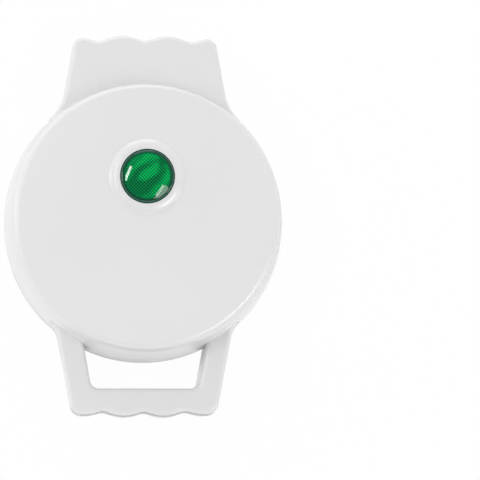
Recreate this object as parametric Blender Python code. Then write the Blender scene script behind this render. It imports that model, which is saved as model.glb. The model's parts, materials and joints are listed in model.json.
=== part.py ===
"""Electric pizzelle maker: two round housings hinged at the back, each with a heated, engraved plate.

Metres, +Z up. The front, with the handle, is at -Y. The feet stand at z = 0.
Both halves are modelled as depths from the parting plane and then turned up or down.
"""

import math

import bmesh
import bpy
from mathutils import Matrix, Vector

LID = 1
BASE = -1
FRONT = -1
REAR = 1

# Clearances
FIT = 0.0003            # gap between pieces that touch
PARTING_GAP = 0.0004    # between the two closed halves
OVERRUN = 0.0010        # how far a cutter runs past what it cuts

# Heights
PARTING_Z = 0.0310      # parting plane above the table
FOOT_HEIGHT = 0.0030
DECK_DEPTH = 0.0115     # parting plane to the handle's and the tail's outer face
LID_DEPTH = 0.0290      # parting plane to the lid's flat top

# Housings, seen from above
BODY_R = 0.0600
WALL = 0.0022
TOP_INSET = 0.0051      # from the body's outside to the lid's flat top
TOP_ROUND = 0.0030
SHOULDER_INSET = 0.0021
WAIST_INSET = 0.0011
LIP_INSET = 0.0003
BASE_SWELL = 0.0004     # the base is this much wider than the lid
FLOOR_ROUND = 0.0050
TAIL_FLOOR_ROUND = 0.0025
EDGE_ROUND = 0.0018     # outer edge of handle and tail
LEAST_ROUND = 0.0002
TANGENT_INSET = 0.0004
ROOT_SHARE = 0.88       # how far in the handle's and the tail's roots run

# Handle
HANDLE_HALF = 0.0350
HANDLE_HALF_OUT = 0.0014   # where its half width is taken, beyond the body
HANDLE_TAPER_SHARE = 0.165
HANDLE_LENGTH = 0.0223     # from the body to a scallop's valley
HANDLE_BULGE = 0.0017
HANDLE_PITCH = 0.0176
HANDLE_BOW = 0.0003
HANDLE_CORNER = 0.0048
HANDLE_FILLET = 0.0120
HANDLE_GRIP = 0.0104       # from the window to a valley
HANDLE_ARM = 0.0096
WINDOW_HALF_INSET = 0.0031
WINDOW_TAPER_SHARE = 0.183
WINDOW_CORNER = 0.0036
WINDOW_ROUND = 0.0022
WINDOW_ROOT_INSET = 0.0200

# Tail
TAIL_HALF = 0.0335
TAIL_HALF_OUT = 0.0022
TAIL_TAPER_SHARE = 0.150
TAIL_LENGTH = 0.0176
TAIL_BULGE = 0.0022
TAIL_PITCH = 0.0200
TAIL_BOW = 0.0004
TAIL_CORNER = 0.0046
TAIL_FILLET = 0.0220
BASE_TAIL_LENGTH = 0.0050
BASE_TAIL_CORNER = 0.0042

# Hinge
HINGE_OUT = 0.0050          # from the base's rear wall to the hinge's axis
PIN_R = 0.0015
PIN_HEAD_R = 0.0024
PIN_HEAD_LENGTH = 0.0015
KNUCKLE_R = 0.0040
KNUCKLE_INNER = 0.0199
KNUCKLE_WIDTH = 0.0062
LUG_WIDTH = 0.0046
LUG_DEPTH = 0.0100
PIN_TIP_LAND = 0.0033
ARM_DEPTH = 0.0040
STOP_INNER = 0.0050
STOP_OUTER = 0.0120
STOP_TOP_DEPTH = 0.0072
STOP_END_DEPTH = 0.0110
STOP_REACH = 0.0029

# Inner frames
FRAME_THICKNESS = 0.0020
FRAME_WIDTH = 0.0050

# Baking plates
PLATE_GAP = 0.0005
FLANGE_LAP = 0.0013
PLATE_FLANGE = 0.0015
PLATE_THICKNESS = 0.0045
PLATE_STEP = 0.0020
PLATE_LAND = 0.0050
CAVITY_LOBE = 0.0020
CAVITY_DEPTH = 0.0016
ENGRAVING_DEPTH = 0.0008
LOBES = 12
OUTER_PETAL_GAP = 0.0025
OUTER_PETAL_LENGTH = 0.0180
OUTER_PETAL_WIDTH = 0.0088
INNER_PETALS = 6
INNER_PETAL_FROM = 0.0070
INNER_PETAL_LENGTH = 0.0190
INNER_PETAL_WIDTH = 0.0085
STAR_R = 0.0052
STAR_DEEP_SHARE = 0.45

# Heating
ELEMENT_INSET = 0.0165
ELEMENT_TUBE_R = 0.00325
ELEMENT_BEND = 0.0060
ELEMENT_GAP_DEG = 24.0
ELEMENT_END_LIFT = 0.0040
ELEMENT_HOLE_R = 0.00565
ELEMENT_HOLE_SHARE = 0.70  # where on the bend the reflector's hole lies
TERMINAL_R = 0.0012
TERMINAL_LENGTH = 0.0050
REFLECTOR_INSET = 0.0045
REFLECTOR_BORE_R = 0.0165
REFLECTOR_SHEET = 0.0008
REFLECTOR_WALL_START = 0.0010
POST_R = 0.0035
POST_INSET = 0.0120
POST_DEGREES = (30.0, 150.0, 270.0)
SUPPORT_R = 0.0028
SUPPORT_INSET = 0.0050
STRAP_POST_R = 0.0025
STRAP_POST_X = 0.0125
STRAP_THICKNESS = 0.0010
STRAP_HALF_WIDTH = 0.0040
STRAP_RING_R = 0.0092

# Screws
SCREW_R = 0.0010
SCREW_HEAD_R = 0.0019
SCREW_HEAD = 0.0013
SCREW_LENGTH = 0.0078
SCREW_BOSS_R = 0.0026
HANDLE_SCREW_X = 0.0160
TAIL_SCREW_X = 0.0200
TAIL_SCREW_INSET = 0.0058
PAN_R = 0.0013
PAN_HEAD_R = 0.0026
PAN_HEAD = 0.0016
PAN_LENGTH = 0.0060
SMALL_PAN_R = 0.0009
SMALL_PAN_HEAD_R = 0.0018
SMALL_PAN_LENGTH = 0.0032

# Indicator
LENS_Y = 0.0167
LENS_R = 0.01185
LENS_RISE = 0.0020      # dome above its rim
LENS_RIM = 0.0005
LENS_FLOOR = 0.0010
LENS_DOME_SHARES = (0.35, 0.60, 0.80, 0.93, 1.0)
BEZEL_R = 0.0154
BEZEL_RISE = 0.0015
BEZEL_ROUND = 0.0012
BEZEL_SEAT = 0.0025
LENS_STEM_R = 0.0092
LENS_STEM_WALL = 0.0015
LENS_STEM_LENGTH = 0.0060
RETAINER_R = 0.0125
RETAINER_THICKNESS = 0.0015
HOLDER_LENGTH = 0.0035
HOLDER_PLUG = 0.0015
LAMP_R = 0.0030
LAMP_LENGTH = 0.0095
LAMP_LEAD_R = 0.0006

# Thermostat and fuse
THERMOSTAT_R = 0.0080
THERMOSTAT_CAP = 0.0040
THERMOSTAT_BODY_R = 0.0068
THERMOSTAT_BODY = 0.0050
TAB_LENGTH = 0.0050
TAB_WIDTH = 0.0040
TAB_THICKNESS = 0.0008
TAB_X = 0.0038
FUSE_R = 0.0019
FUSE_LENGTH = 0.0110

# Mains side
BLOCK_LENGTH = 0.0220
BLOCK_WIDTH = 0.0080
BLOCK_HEIGHT = 0.0085
BLOCK_INSET = 0.0150
BLOCK_RIB = 0.0012
BLOCK_WELL = 0.0030
WELL_R_SHARE = 0.22
WELL_PITCH_SHARE = 0.32
SIDE_ENTRY_SHARE = 0.75  # how high the leads enter the block's side
GLAND_DEPTH = 0.0195
GLAND_NECK_R = 0.0048
GLAND_FLANGE_R = 0.0062
GLAND_LIP_R = 0.0056
GLAND_BORE_R = 0.0034
GLAND_OUT = 0.0028
GLAND_LIP = 0.0016
GLAND_EASE = 0.0010
LEAD_R = 0.0010
LEAD_HOLE_R = 0.0020
LEAD_HOLE_X = 0.0105
LEAD_HOLE_DEPTH = 0.0052
LEAD_MEET_X = 0.0060
LEAD_RISE_X = 0.0025
PAST_PIN_SHARE = 0.60
TAB_HOLD_SHARE = 0.75
NEUTRAL_TURN_SHARE = 0.40
SPARE_TURN_SHARE = 0.60

# Feet and vents
FOOT_R = 0.0060
FOOT_STEM_R = 0.0022
FOOT_HEAD_R = 0.0031
FOOT_HEAD = 0.0018
FOOT_EASE = 0.0007
FRONT_FOOT_X = 0.0300
FRONT_FOOT_INSET = 0.0220
REAR_FOOT_X = 0.0240
REAR_FOOT_INSET = 0.0120
VENT_LENGTH = 0.0200
VENT_WIDTH = 0.0022
VENT_PITCH = 0.0060
VENTS = 5
VENT_ROUND_SHARE = 0.45

# Facets
ROUND = 44
LENS_ROUND = 24
SMALL_ROUND = 10
SCREW_ROUND = 8
SMOOTH_ANGLE = math.radians(32.0)
WORK_SCALE = 1000.0     # Booleans are worked out this much larger

# What follows from the sizes above
TOP_R = BODY_R - TOP_INSET
HANDLE_HALF_AT = BODY_R + HANDLE_HALF_OUT
HANDLE_VALLEY = BODY_R + HANDLE_LENGTH
WINDOW_END = HANDLE_VALLEY - HANDLE_GRIP
WINDOW_HALF = HANDLE_HALF - HANDLE_ARM
WINDOW_HALF_AT = BODY_R - WINDOW_HALF_INSET
WINDOW_ROOT = BODY_R - WINDOW_ROOT_INSET
TAIL_HALF_AT = BODY_R + TAIL_HALF_OUT
TAIL_VALLEY = BODY_R + TAIL_LENGTH
BASE_TAIL_END = BODY_R + BASE_TAIL_LENGTH
HINGE_Y = BASE_TAIL_END + HINGE_OUT
FRAME_BORE_R = BODY_R - FRAME_WIDTH
FRAME_TAIL_END = BASE_TAIL_END - WALL - FIT
PLATE_FACE_R = FRAME_BORE_R - PLATE_GAP
PLATE_FLANGE_R = FRAME_BORE_R + FLANGE_LAP
PLATE_BACK_R = PLATE_FACE_R - PLATE_STEP
CAVITY_R = PLATE_FACE_R - PLATE_LAND
OUTER_PETAL_FROM = CAVITY_R - OUTER_PETAL_LENGTH - OUTER_PETAL_GAP
ELEMENT_R = PLATE_BACK_R - ELEMENT_INSET
REFLECTOR_R = PLATE_BACK_R - REFLECTOR_INSET
POST_RADIUS = ELEMENT_R - POST_INSET
SUPPORT_RADIUS = REFLECTOR_R - SUPPORT_INSET
TAIL_SCREW_Y = BASE_TAIL_END - TAIL_SCREW_INSET
BLOCK_Y = BASE_TAIL_END - BLOCK_INSET
FRONT_FOOT_Y = -(BODY_R - FRONT_FOOT_INSET)
REAR_FOOT_Y = BASE_TAIL_END - REAR_FOOT_INSET
FACE_DEPTH = PARTING_GAP / 2
FLOOR_DEPTH = PARTING_Z - FOOT_HEIGHT
PLATE_BACK = FACE_DEPTH + PLATE_THICKNESS
FRAME_BACK = FACE_DEPTH + FRAME_THICKNESS
CAVITY_FLOOR = FACE_DEPTH + CAVITY_DEPTH
ELEMENT_DEPTH = PLATE_BACK + FIT + ELEMENT_TUBE_R
REFLECTOR_FACE = ELEMENT_DEPTH + ELEMENT_TUBE_R + FIT
REFLECTOR_BACK = REFLECTOR_FACE + REFLECTOR_SHEET
ROOF_DEPTH = LID_DEPTH - WALL
FLOOR_INSIDE = FLOOR_DEPTH - WALL
DECK_INSIDE = DECK_DEPTH - WALL
HANDLE_SCREW_Y = -(WINDOW_END + HANDLE_VALLEY) / 2
STRAP_DEPTH = PLATE_BACK + FIT + THERMOSTAT_CAP + FIT
ELEMENT_END_DEPTH = REFLECTOR_BACK + ELEMENT_END_LIFT
TERMINAL_DEPTH = ELEMENT_END_DEPTH + FIT + TERMINAL_LENGTH
TAB_DEPTH = PLATE_BACK + FIT + THERMOSTAT_CAP + THERMOSTAT_BODY + TAB_LENGTH
LENS_SEAT = LID_DEPTH + BEZEL_RISE - BEZEL_SEAT
LENS_FOOT = LENS_SEAT + FIT
LENS_STEM_END = ROOF_DEPTH - LENS_STEM_LENGTH
BLOCK_FLOOR = FLOOR_INSIDE - FIT
LUG_INNER = KNUCKLE_INNER - FIT - LUG_WIDTH
OUTER_LUG = KNUCKLE_INNER + KNUCKLE_WIDTH + FIT
PIN_TIP = OUTER_LUG + PIN_TIP_LAND


# Materials

def finish(name, colour, roughness, metallic=0.0, alpha=1.0):
    """A plain Principled material."""
    material = bpy.data.materials.new(name)
    material.use_nodes = True
    shader = material.node_tree.nodes["Principled BSDF"]
    shader.inputs["Base Color"].default_value = (*colour, 1.0)
    shader.inputs["Roughness"].default_value = roughness
    shader.inputs["Metallic"].default_value = metallic
    shader.inputs["Alpha"].default_value = alpha
    material.diffuse_color = (*colour, alpha)
    return material


def white_plastic():
    return finish("white_plastic", (0.80, 0.78, 0.78), 0.35)


def frame_plastic():
    return finish("frame_plastic", (0.72, 0.71, 0.70), 0.45)


def plate_aluminium():
    return finish("plate_aluminium", (0.10, 0.10, 0.11), 0.45, 0.6)


def bright_steel():
    return finish("bright_steel", (0.62, 0.62, 0.63), 0.30, 1.0)


def sheet_aluminium():
    return finish("sheet_aluminium", (0.78, 0.79, 0.80), 0.35, 1.0)


def element_steel():
    return finish("element_steel", (0.30, 0.27, 0.25), 0.50, 1.0)


def green_lens():
    return finish("green_lens", (0.01, 0.45, 0.12), 0.12)


def lamp_glass():
    return finish("lamp_glass", (0.90, 0.92, 0.90), 0.05, 0.0, 0.4)


def black_phenolic():
    return finish("black_phenolic", (0.03, 0.03, 0.03), 0.45)


def foot_rubber():
    return finish("foot_rubber", (0.06, 0.06, 0.06), 0.85)


def lead_sleeve(colour):
    return finish("lead_sleeve", colour, 0.55)


# Shapes

def clear_scene():
    for obj in list(bpy.data.objects):
        bpy.data.objects.remove(obj, do_unlink=True)


def add_mesh(name, bm):
    """Put a bmesh in the scene with its faces pointing out."""
    bmesh.ops.recalc_face_normals(bm, faces=bm.faces)
    mesh = bpy.data.meshes.new(name)
    bm.to_mesh(mesh)
    bm.free()
    obj = bpy.data.objects.new(name, mesh)
    bpy.context.scene.collection.objects.link(obj)
    return obj


def loft(name, rings):
    """A closed solid through rings with the same number of points, capped at both ends."""
    bm = bmesh.new()
    loops = [[bm.verts.new(point) for point in ring] for ring in rings]
    count = len(loops[0])
    for low, high in zip(loops, loops[1:]):
        for i in range(count):
            j = (i + 1) % count
            bm.faces.new((low[i], low[j], high[j], high[i]))
    bm.faces.new(loops[0][::-1])
    bm.faces.new(loops[-1])
    return add_mesh(name, bm)


def prism(name, outline, low, high):
    """An outline in X and Y, run from one depth to another."""
    return loft(name, [[(x, y, z) for x, y in outline] for z in (low, high)])


def bar(name, outline, left, right):
    """An outline in Y and depth, run along X."""
    return loft(name, [[(x, y, z) for y, z in outline] for x in (left, right)])


def turned(name, profile, steps=ROUND, centre=(0.0, 0.0)):
    """A profile of radius and depth, from the axis round its outer side back to the axis, turned about Z."""
    bm = bmesh.new()
    rings = []
    for radius, depth in profile:
        if radius == 0:
            rings.append([bm.verts.new((centre[0], centre[1], depth))])
            continue
        ring = []
        for i in range(steps):
            angle = 2 * math.pi * i / steps
            x = centre[0] + radius * math.cos(angle)
            y = centre[1] + radius * math.sin(angle)
            ring.append(bm.verts.new((x, y, depth)))
        rings.append(ring)
    closed = profile[0][0] != 0
    pairs = list(zip(rings, rings[1:]))
    if closed:
        pairs.append((rings[-1], rings[0]))
    for upper, lower in pairs:
        for i in range(steps):
            j = (i + 1) % steps
            if len(upper) == 1:
                bm.faces.new((upper[0], lower[i], lower[j]))
            elif len(lower) == 1:
                bm.faces.new((upper[i], lower[0], upper[j]))
            else:
                bm.faces.new((upper[i], lower[i], lower[j], upper[j]))
    return add_mesh(name, bm)


def rod(radius, low, high, centre=(0.0, 0.0), steps=SMALL_ROUND, name="rod"):
    return turned(name, [(0, high), (radius, high), (radius, low), (0, low)], steps, centre)


def block(x_range, y_range, z_range, name="block"):
    outline = [(x, y) for x, y in zip((x_range[0], x_range[1], x_range[1], x_range[0]),
                                      (y_range[0], y_range[0], y_range[1], y_range[1]))]
    return prism(name, outline, *z_range)


def rod_along(axis, radius, start, end, centre, steps=SMALL_ROUND):
    """A rod along X or Y; centre is its place in Y or X, and in depth."""
    obj = rod(radius, start, end, steps=steps)
    turn = Matrix.Rotation(math.pi / 2, 4, "Y" if axis == "X" else "X")
    obj.data.transform(turn)
    if axis == "Y":
        obj.data.transform(Matrix.Scale(-1, 4, (0, 1, 0)))
        obj.data.flip_normals()
        obj.data.transform(Matrix.Translation((centre[0], 0, centre[1])))
    else:
        obj.data.transform(Matrix.Translation((0, centre[0], centre[1])))
    return obj


def is_closed(mesh):
    """Whether every edge has exactly two faces."""
    bm = bmesh.new()
    bm.from_mesh(mesh)
    closed = len(bm.faces) > 0 and all(len(edge.link_faces) == 2 for edge in bm.edges)
    bm.free()
    return closed


def boolean_mesh(target, operation, solver, tool):
    """The mesh that one Boolean modifier gives."""
    modifier = target.modifiers.new("combine", "BOOLEAN")
    modifier.operation = operation
    modifier.solver = solver
    modifier.object = tool
    bpy.context.view_layer.update()
    graph = bpy.context.evaluated_depsgraph_get()
    mesh = bpy.data.meshes.new_from_object(target.evaluated_get(graph))
    target.modifiers.clear()
    return mesh


def combine(target, operation, *tools):
    """Apply a Boolean for each tool, and drop the tools.

    Where EXACT leaves an open edge, MANIFOLD does the step.
    """
    target.data.transform(Matrix.Scale(WORK_SCALE, 4))
    for tool in tools:
        tool.data.transform(Matrix.Scale(WORK_SCALE, 4))
        mesh = boolean_mesh(target, operation, "EXACT", tool)
        if not is_closed(mesh):
            mesh = boolean_mesh(target, operation, "MANIFOLD", tool)
        target.data = mesh
        bpy.data.objects.remove(tool, do_unlink=True)
    target.data.transform(Matrix.Scale(1 / WORK_SCALE, 4))
    return target


def join(target, *tools):
    return combine(target, "UNION", *tools)


def cut(target, *tools):
    return combine(target, "DIFFERENCE", *tools)


def group(name, pieces):
    """Cutters that do not touch, as one cutter."""
    bm = bmesh.new()
    for piece in pieces:
        bm.from_mesh(piece.data)
        bpy.data.objects.remove(piece, do_unlink=True)
    return add_mesh(name, bm)


def settle(obj, name, material, carrier, side=None):
    """Turn depths into heights, and give the piece its name, finish and carrier."""
    obj.name = name
    obj.data.name = name
    if side is not None:
        obj.data.transform(Matrix.Translation((0, 0, PARTING_Z)) @ Matrix.Scale(side, 4, (0, 0, 1)))
        if side == BASE:
            obj.data.flip_normals()
    obj.data.materials.clear()
    obj.data.materials.append(material)
    if obj.type == "MESH":
        obj.data.shade_smooth()
        obj.data.set_sharp_from_angle(angle=SMOOTH_ANGLE)
    obj.parent = carrier
    if carrier.name == "lid_hinge":
        obj.location = -carrier.location
    return obj


def tube(name, points, radius, material, carrier):
    """A lead or a heater tube along a list of points."""
    curve = bpy.data.curves.new(name, "CURVE")
    curve.dimensions = "3D"
    curve.bevel_depth = radius
    curve.bevel_resolution = 2
    curve.use_fill_caps = True
    spline = curve.splines.new("POLY")
    spline.points.add(len(points) - 1)
    for target, point in zip(spline.points, points):
        target.co = (*point, 1.0)
    obj = bpy.data.objects.new(name, curve)
    bpy.context.scene.collection.objects.link(obj)
    return settle(obj, name, material, carrier)


# Outlines

def arc(centre, radius, start, end, steps):
    """Points along an arc, both ends included, in degrees."""
    points = []
    for i in range(steps + 1):
        angle = math.radians(start + (end - start) * i / steps)
        points.append((centre[0] + radius * math.cos(angle), centre[1] + radius * math.sin(angle)))
    return points


def area(outline):
    return sum(a[0] * b[1] - b[0] * a[1] for a, b in zip(outline, outline[1:] + outline[:1])) / 2


def offset(outline, distance):
    """The outline, which runs anticlockwise, moved outwards by a distance."""
    moved = []
    count = len(outline)
    for i, (x, y) in enumerate(outline):
        before = outline[i - 1]
        after = outline[(i + 1) % count]
        first = Vector((y - before[1], before[0] - x)).normalized()
        second = Vector((after[1] - y, x - after[0])).normalized()
        shift = (first + second) * (distance / (1 + first.dot(second)))
        moved.append((x + shift.x, y + shift.y))
    return moved


def rounded(corners, radius, steps=4):
    """A convex anticlockwise polygon with its corners made into arcs."""
    points = []
    for i, corner in enumerate(corners):
        here = Vector(corner)
        back = (Vector(corners[i - 1]) - here).normalized()
        ahead = (Vector(corners[(i + 1) % len(corners)]) - here).normalized()
        half = back.angle(ahead) / 2
        centre = here + (back + ahead).normalized() * (radius / math.sin(half))
        first = here + back * (radius / math.tan(half)) - centre
        turn = math.degrees(first.angle_signed(here + ahead * (radius / math.tan(half)) - centre))
        start = math.degrees(math.atan2(first.y, first.x))
        points += arc(centre, radius, start, start - turn, steps)
    return points


def extension(side, half, half_at, taper, valley, bulge, pitch, bow, corner, fillet):
    """The handle's or the tail's outline: a scalloped end, tapered sides, and fillets into the round body."""
    def side_at(reach):
        return half - taper * (reach - half_at)

    def end_at(x):
        return valley + bulge * abs(math.sin(math.pi * x / pitch)) - bow * (x / pitch) ** 2

    corner_x = side_at(valley) - corner
    corner_reach = end_at(corner_x) - corner
    steps = max(2, round(4 * corner_x / pitch))
    points = [(corner_x * i / steps, end_at(corner_x * i / steps)) for i in range(steps)]
    points += arc((corner_x, corner_reach), corner, 90, 0, 4)
    outward = Vector((1, taper)).normalized()
    along = Vector((-taper, 1)).normalized()
    line = outward.dot(Vector((half, half_at)))
    body = BODY_R - TANGENT_INSET
    run = math.sqrt((body + fillet) ** 2 - (line + fillet) ** 2)
    centre = outward * (line + fillet) + along * run
    start = math.degrees(math.atan2(-outward.y, -outward.x)) % 360
    end = math.degrees(math.atan2(-centre.y, -centre.x)) % 360
    points += arc(centre, fillet, start, end, 4)
    inner = centre * (body / (body + fillet)) * ROOT_SHARE
    points.append((inner.x, inner.y))
    mirrored = [(-x, y) for x, y in points[::-1] if x > 0]
    outline = [(x, side * y) for x, y in points + mirrored]
    return outline if area(outline) > 0 else outline[::-1]


def handle_outline():
    return extension(FRONT, HANDLE_HALF, HANDLE_HALF_AT, HANDLE_TAPER_SHARE, HANDLE_VALLEY, HANDLE_BULGE,
                     HANDLE_PITCH, HANDLE_BOW, HANDLE_CORNER, HANDLE_FILLET)


def tail_outline():
    return extension(REAR, TAIL_HALF, TAIL_HALF_AT, TAIL_TAPER_SHARE, TAIL_VALLEY, TAIL_BULGE,
                     TAIL_PITCH, TAIL_BOW, TAIL_CORNER, TAIL_FILLET)


def short_tail_outline(end, corner):
    """The tail as far as a straight end, in front of the hinge."""
    return extension(REAR, TAIL_HALF, TAIL_HALF_AT, TAIL_TAPER_SHARE, end, 0.0,
                     TAIL_PITCH, 0.0, corner, TAIL_FILLET)


def window_outline(growth=0.0):
    """The finger gap, which ends inside the round body."""
    far = WINDOW_HALF - WINDOW_TAPER_SHARE * (WINDOW_END - WINDOW_HALF_AT)
    near = WINDOW_HALF + WINDOW_TAPER_SHARE * (WINDOW_HALF_AT - WINDOW_ROOT)
    corners = [(-far, -WINDOW_END), (far, -WINDOW_END), (near, -WINDOW_ROOT), (-near, -WINDOW_ROOT)]
    return offset(rounded(corners, WINDOW_CORNER), growth)


def edged(name, outline, low, high, radius, steps=2):
    """A prism whose far edge is rounded."""
    rings = [(low, 0.0)]
    for i in range(steps + 1):
        angle = math.pi / 2 * i / steps
        rings.append((high - radius + radius * math.sin(angle), radius * (math.cos(angle) - 1)))
    return loft(name, [[(x, y, z) for x, y in offset(outline, grow)] for z, grow in rings])


def window_cutter(low, high):
    """The finger gap with its outer rim eased."""
    rings = [(low, 0.0)]
    for i in range(3):
        angle = math.pi / 2 * i / 2
        depth = high - WINDOW_ROUND * (1 - math.sin(angle))
        rings.append((depth, WINDOW_ROUND * (1 - math.cos(angle))))
    rings.append((high + OVERRUN, WINDOW_ROUND))
    return loft("window", [[(x, y, z) for x, y in window_outline(grow)] for z, grow in rings])


def quarter(radius_at, depth_at, size, steps=2):
    """Points round a convex outer corner that starts on a flat top and ends on the side."""
    points = []
    for i in range(steps + 1):
        angle = math.pi / 2 * i / steps
        points.append((radius_at + size * math.sin(angle), depth_at - size + size * math.cos(angle)))
    return points


# Housings

def screw_places():
    return [(side * HANDLE_SCREW_X, HANDLE_SCREW_Y) for side in (-1, 1)] + [
        (side * TAIL_SCREW_X, TAIL_SCREW_Y) for side in (-1, 1)]


def around(radius, degrees):
    return radius * math.cos(math.radians(degrees)), radius * math.sin(math.radians(degrees))


def lid_profile(inset=0.0):
    """The lid's round body, or its hollow when inset."""
    shoulder = BODY_R - SHOULDER_INSET
    return [(0, LID_DEPTH - inset)] + [
        (radius - inset, depth - inset) for radius, depth in quarter(TOP_R, LID_DEPTH, TOP_ROUND)] + [
        (shoulder + (SHOULDER_INSET - WAIST_INSET) - inset, (LID_DEPTH + DECK_DEPTH) / 2),
        (BODY_R - LIP_INSET - inset, DECK_DEPTH + WALL),
        (BODY_R - inset, FACE_DEPTH * 2)]


def base_profile(inset=0.0):
    """The base's round body, or its hollow when inset."""
    radius = BODY_R + BASE_SWELL
    edge = quarter(radius - FLOOR_ROUND, FLOOR_DEPTH, FLOOR_ROUND)
    return [(0, FLOOR_DEPTH - inset)] + [(r - inset, depth - inset) for r, depth in edge] + [
        (radius - inset, DECK_DEPTH),
        (BODY_R - inset, FACE_DEPTH * 2)]


def body_of(profile, low):
    """A round body or hollow that runs straight on to a depth."""
    radius = profile[-1][0]
    return turned("round_body", profile + [(radius, low), (0, low)])


def housing(profile, tail, tail_depth, tail_round):
    """A hollow half: the round body, the handle loop and the tail, open towards the parting plane."""
    shell = edged("shell", handle_outline(), -OVERRUN, DECK_DEPTH, EDGE_ROUND)
    cut(shell, window_cutter(-2 * OVERRUN, DECK_DEPTH))
    join(shell, body_of(profile(), -2 * OVERRUN))
    join(shell, edged("tail", tail, -3 * OVERRUN, tail_depth, tail_round))
    hollow = prism("hollow", offset(handle_outline(), -WALL), -4 * OVERRUN, DECK_INSIDE)
    cut(hollow, prism("window", window_outline(WALL), -5 * OVERRUN, DECK_DEPTH))
    join(hollow, body_of(profile(WALL), -5 * OVERRUN))
    inner_round = max(tail_round - WALL, LEAST_ROUND)
    join(hollow, edged("tail", offset(tail, -WALL), -6 * OVERRUN, tail_depth - WALL, inner_round))
    cut(shell, hollow)
    reach = 2 * BODY_R
    cut(shell, block((-reach, reach), (-reach, reach), (-7 * OVERRUN, FACE_DEPTH)))
    return shell


def add_bosses(shell, roof):
    """Bosses for the housing screws and posts that back the reflector."""
    for x, y in screw_places():
        top = (roof if y > 0 else DECK_INSIDE) + WALL / 2
        join(shell, rod(SCREW_BOSS_R, FRAME_BACK + FIT, top, (x, y)))
        end = FACE_DEPTH + SCREW_LENGTH + FIT
        cut(shell, rod(SCREW_R + FIT, FRAME_BACK - OVERRUN, end, (x, y), SCREW_ROUND))
    return shell


def add_supports(shell, roof):
    for degrees in POST_DEGREES:
        join(shell, rod(SUPPORT_R, REFLECTOR_BACK + FIT, roof + WALL / 2, around(SUPPORT_RADIUS, degrees)))
    return shell


def ear_outline(y_from, y_to, far):
    """A hinge ear seen from the side: a round nose on the axis and a root out to a depth."""
    nose = arc((HINGE_Y, 0.0), KNUCKLE_R, 180, 360, 8)
    return [(y_from, far), (y_from, nose[0][1])] + nose + [(y_to, far)]


def build_lid_shell(carrier):
    shell = housing(lid_profile, tail_outline(), DECK_DEPTH, EDGE_ROUND)
    add_bosses(shell, DECK_INSIDE)
    add_supports(shell, ROOF_DEPTH)
    centre = (0.0, LENS_Y)
    top = LID_DEPTH + BEZEL_RISE
    bezel = [(0, top)] + quarter(BEZEL_R - BEZEL_ROUND, top, BEZEL_ROUND) + [
        (BEZEL_R, ROOF_DEPTH + WALL / 2), (0, ROOF_DEPTH + WALL / 2)]
    join(shell, turned("bezel", bezel, LENS_ROUND, centre))
    cut(shell, rod(LENS_R + FIT, LENS_SEAT, top + OVERRUN, centre, LENS_ROUND))
    cut(shell, rod(LENS_STEM_R + FIT, ROOF_DEPTH - OVERRUN, top + OVERRUN, centre, LENS_ROUND))
    ear = ear_outline(HINGE_Y - KNUCKLE_R, HINGE_Y + KNUCKLE_R, LUG_DEPTH)
    for side in (-1, 1):
        for start, width in ((LUG_INNER, LUG_WIDTH), (OUTER_LUG, LUG_WIDTH)):
            low, high = sorted((side * start, side * (start + width)))
            join(shell, bar("lug", ear, low, high))
        low, high = sorted((side * (LUG_INNER - OVERRUN), side * (PIN_TIP + FIT)))
        cut(shell, rod_along("X", PIN_R + FIT, low, high, (HINGE_Y, 0.0)))
    return settle(shell, "lid_shell", white_plastic(), carrier, LID)


def foot_places():
    return {"foot_front_left": (-FRONT_FOOT_X, FRONT_FOOT_Y),
            "foot_front_right": (FRONT_FOOT_X, FRONT_FOOT_Y),
            "foot_rear_left": (-REAR_FOOT_X, REAR_FOOT_Y),
            "foot_rear_right": (REAR_FOOT_X, REAR_FOOT_Y)}


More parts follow.
